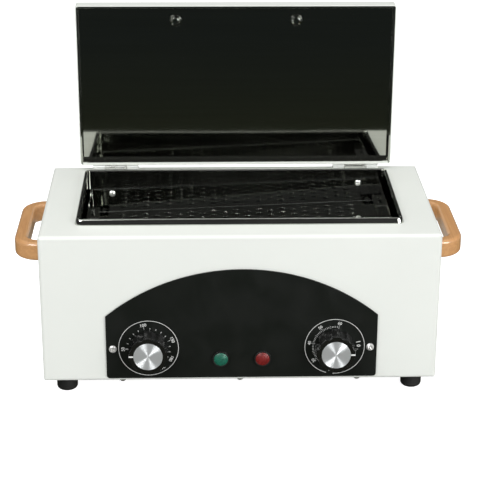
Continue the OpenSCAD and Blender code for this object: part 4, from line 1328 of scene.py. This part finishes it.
@dataclass(frozen=True)
class PhotoCamera:
    """The photograph's camera, with its angles in radians.

    Args:
        place: where it stands.
        yaw: turn to the right.
        pitch: how far it looks down.
        roll: tilt of the picture.
        focal_pixels: focal length in pixels of the 500 pixel picture.
        picture: width of the picture in pixels.
        sensor: width of the sensor, in millimetres.
    """

    place: Point = (-0.03209, -1.20581, 0.58188)
    yaw: float = 0.0350523
    pitch: float = 0.3883681
    roll: float = 0.0061657
    focal_pixels: float = 1579.22
    picture: float = 500.0
    sensor: float = 36.0

    def build(self) -> None:
        """Makes the camera and sets it as the scene's."""
        lens = bpy.data.cameras.new("photo_camera")
        lens.sensor_width = self.sensor
        lens.lens = self.focal_pixels / self.picture * self.sensor
        ahead = Vector((math.sin(self.yaw) * math.cos(self.pitch),
                        math.cos(self.yaw) * math.cos(self.pitch), -math.sin(self.pitch)))
        right = Vector((math.cos(self.yaw), -math.sin(self.yaw), 0.0))
        up = right.cross(ahead)
        tilted_right = right * math.cos(self.roll) + up * math.sin(self.roll)
        tilted_up = up * math.cos(self.roll) - right * math.sin(self.roll)
        axes = Matrix((tilted_right, tilted_up, -ahead)).transposed().to_4x4()
        camera = placed("photo_camera", lens)
        camera.matrix_world = Matrix.Translation(self.place) @ axes
        bpy.context.scene.camera = camera


# Turn of the left knob for ten degrees, and the angle of its 50
TEN_DEGREES = 16.1
LOWEST_TEMPERATURE = -92.0
# Turn of the right knob for a minute, and the angle of its start
MINUTE = 4.545
TIMER_START = 97.7
# Angle of the left scale's index mark
INDEX_MARK = 188.7


def temperature_dial() -> DialPlan:
    """Returns the temperature scale: 50 to 200, with a tick every 10 degrees."""
    def at(value: float) -> float:
        """Returns a temperature's angle."""
        return LOWEST_TEMPERATURE + (value - 50) / 10 * TEN_DEGREES

    return DialPlan(
        piece="temperature_scale", centre=LEFT_DIAL,
        ticks=[
            TickRun(at(60), at(180), 13, 0.0167, 0.0013, 0.0004),
            TickRun(at(50), at(150), 3, 0.0171, 0.0021, 0.0005),
            TickRun(INDEX_MARK, INDEX_MARK, 1, 0.0222, 0.0011, 0.0004),
        ],
        marks=[Mark(str(value), at(value)) for value in (50, 100, 150, 180, 200)],
    )


def timer_dial() -> DialPlan:
    """Returns the timer's scale: 0 to 60 minutes, with a tick every minute."""
    def at(minutes: float) -> float:
        """Returns the angle of a number of minutes."""
        return TIMER_START + minutes * MINUTE

    return DialPlan(
        piece="timer_scale", centre=RIGHT_DIAL, ring_from=195.4, ring_to=542.7,
        ticks=[
            TickRun(at(0), at(60), 61, 0.0170, 0.0014, 0.0003),
            TickRun(at(0), at(60), 13, 0.0170, 0.0021, 0.0004),
            TickRun(at(0), at(60), 7, 0.0171, 0.0028, 0.0005),
        ],
        marks=[Mark(str(m), at(m), 0.0201, 0.0024) for m in range(10, 61, 10)]
        + [Mark("I", 78.0, 0.0187, 0.0034, 0.00012), Mark("0", 88.2, 0.0187, 0.0028, 0.0001)],
    )


LIGHTS = (
    Softbox("key_light", (-1.1, -1.4, 1.7), (1.4, 1.4), 19.0),
    Softbox("fill_light", (1.4, -1.5, 0.8), (1.3, 1.3), 17.0),
    Softbox("top_light", (0.0, 0.1, 1.7), (1.2, 0.7), 5.0),
)

# Cards seen only in reflections: a painted dark reflection of the floor, olive near the object and
# grey further out, a painted bright sky reflection and two painted glints
CARDS = (
    Card("painted_floor_reflection_card", ((-0.7, -5.0, 0.0005), (0.7, -5.0, 0.0005),
                             (0.7, 1.5, 0.0005), (-0.7, 1.5, 0.0005)),
         (0.034, 0.036, 0.014), (0.016, 0.019, 0.018), 0.3, 1.0),
    Card("painted_sky_reflection_card", ((-0.8, -0.1, 1.3), (0.8, -0.1, 1.3),
                             (0.8, 1.0, 1.3), (-0.8, 1.0, 1.3)), (1.0, 1.0, 1.0)),
    Card("left_glint_card", ((-1.9, -1.3, 1.2), (-0.7, -2.0, 1.2),
                             (-0.7, -2.0, 2.2), (-1.9, -1.3, 2.2)), (13.0, 13.0, 13.0)),
    Card("right_glint_card", ((1.0, -2.0, 0.2), (2.0, -1.4, 0.2),
                              (2.0, -1.4, 1.3), (1.0, -2.0, 1.3)), (10.0, 10.0, 10.0)),
)


def main() -> None:
    """Builds the scene, in order."""
    logging.basicConfig(level=logging.INFO, format="%(message)s")
    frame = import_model()
    shop = MaterialShop(EffectGroups())
    FrameDresser(frame, shop).dress()
    printer = DialPrinter(shop)
    printer.build(temperature_dial())
    printer.build(timer_dial())
    pointers = PointerBuilder(shop)
    pointers.build(PointerPlan("temperature_pointer", "temperature_knob", "temperature_control",
                               LEFT_DIAL, -90.0))
    pointers.build(PointerPlan("timer_pointer", "timer_knob", "timer_control", RIGHT_DIAL, 90.0))
    CollarBuilder(shop).build(CollarPlan())
    screws = CrossPlan()
    CrossCutter(shop).build(screws, frame["nodes"][screws.node])
    Studio().build(LIGHTS, CARDS)
    PhotoCamera().build()
    scene = bpy.context.scene
    scene.view_settings.view_transform = "Standard"


if __name__ == "__main__":
    main()
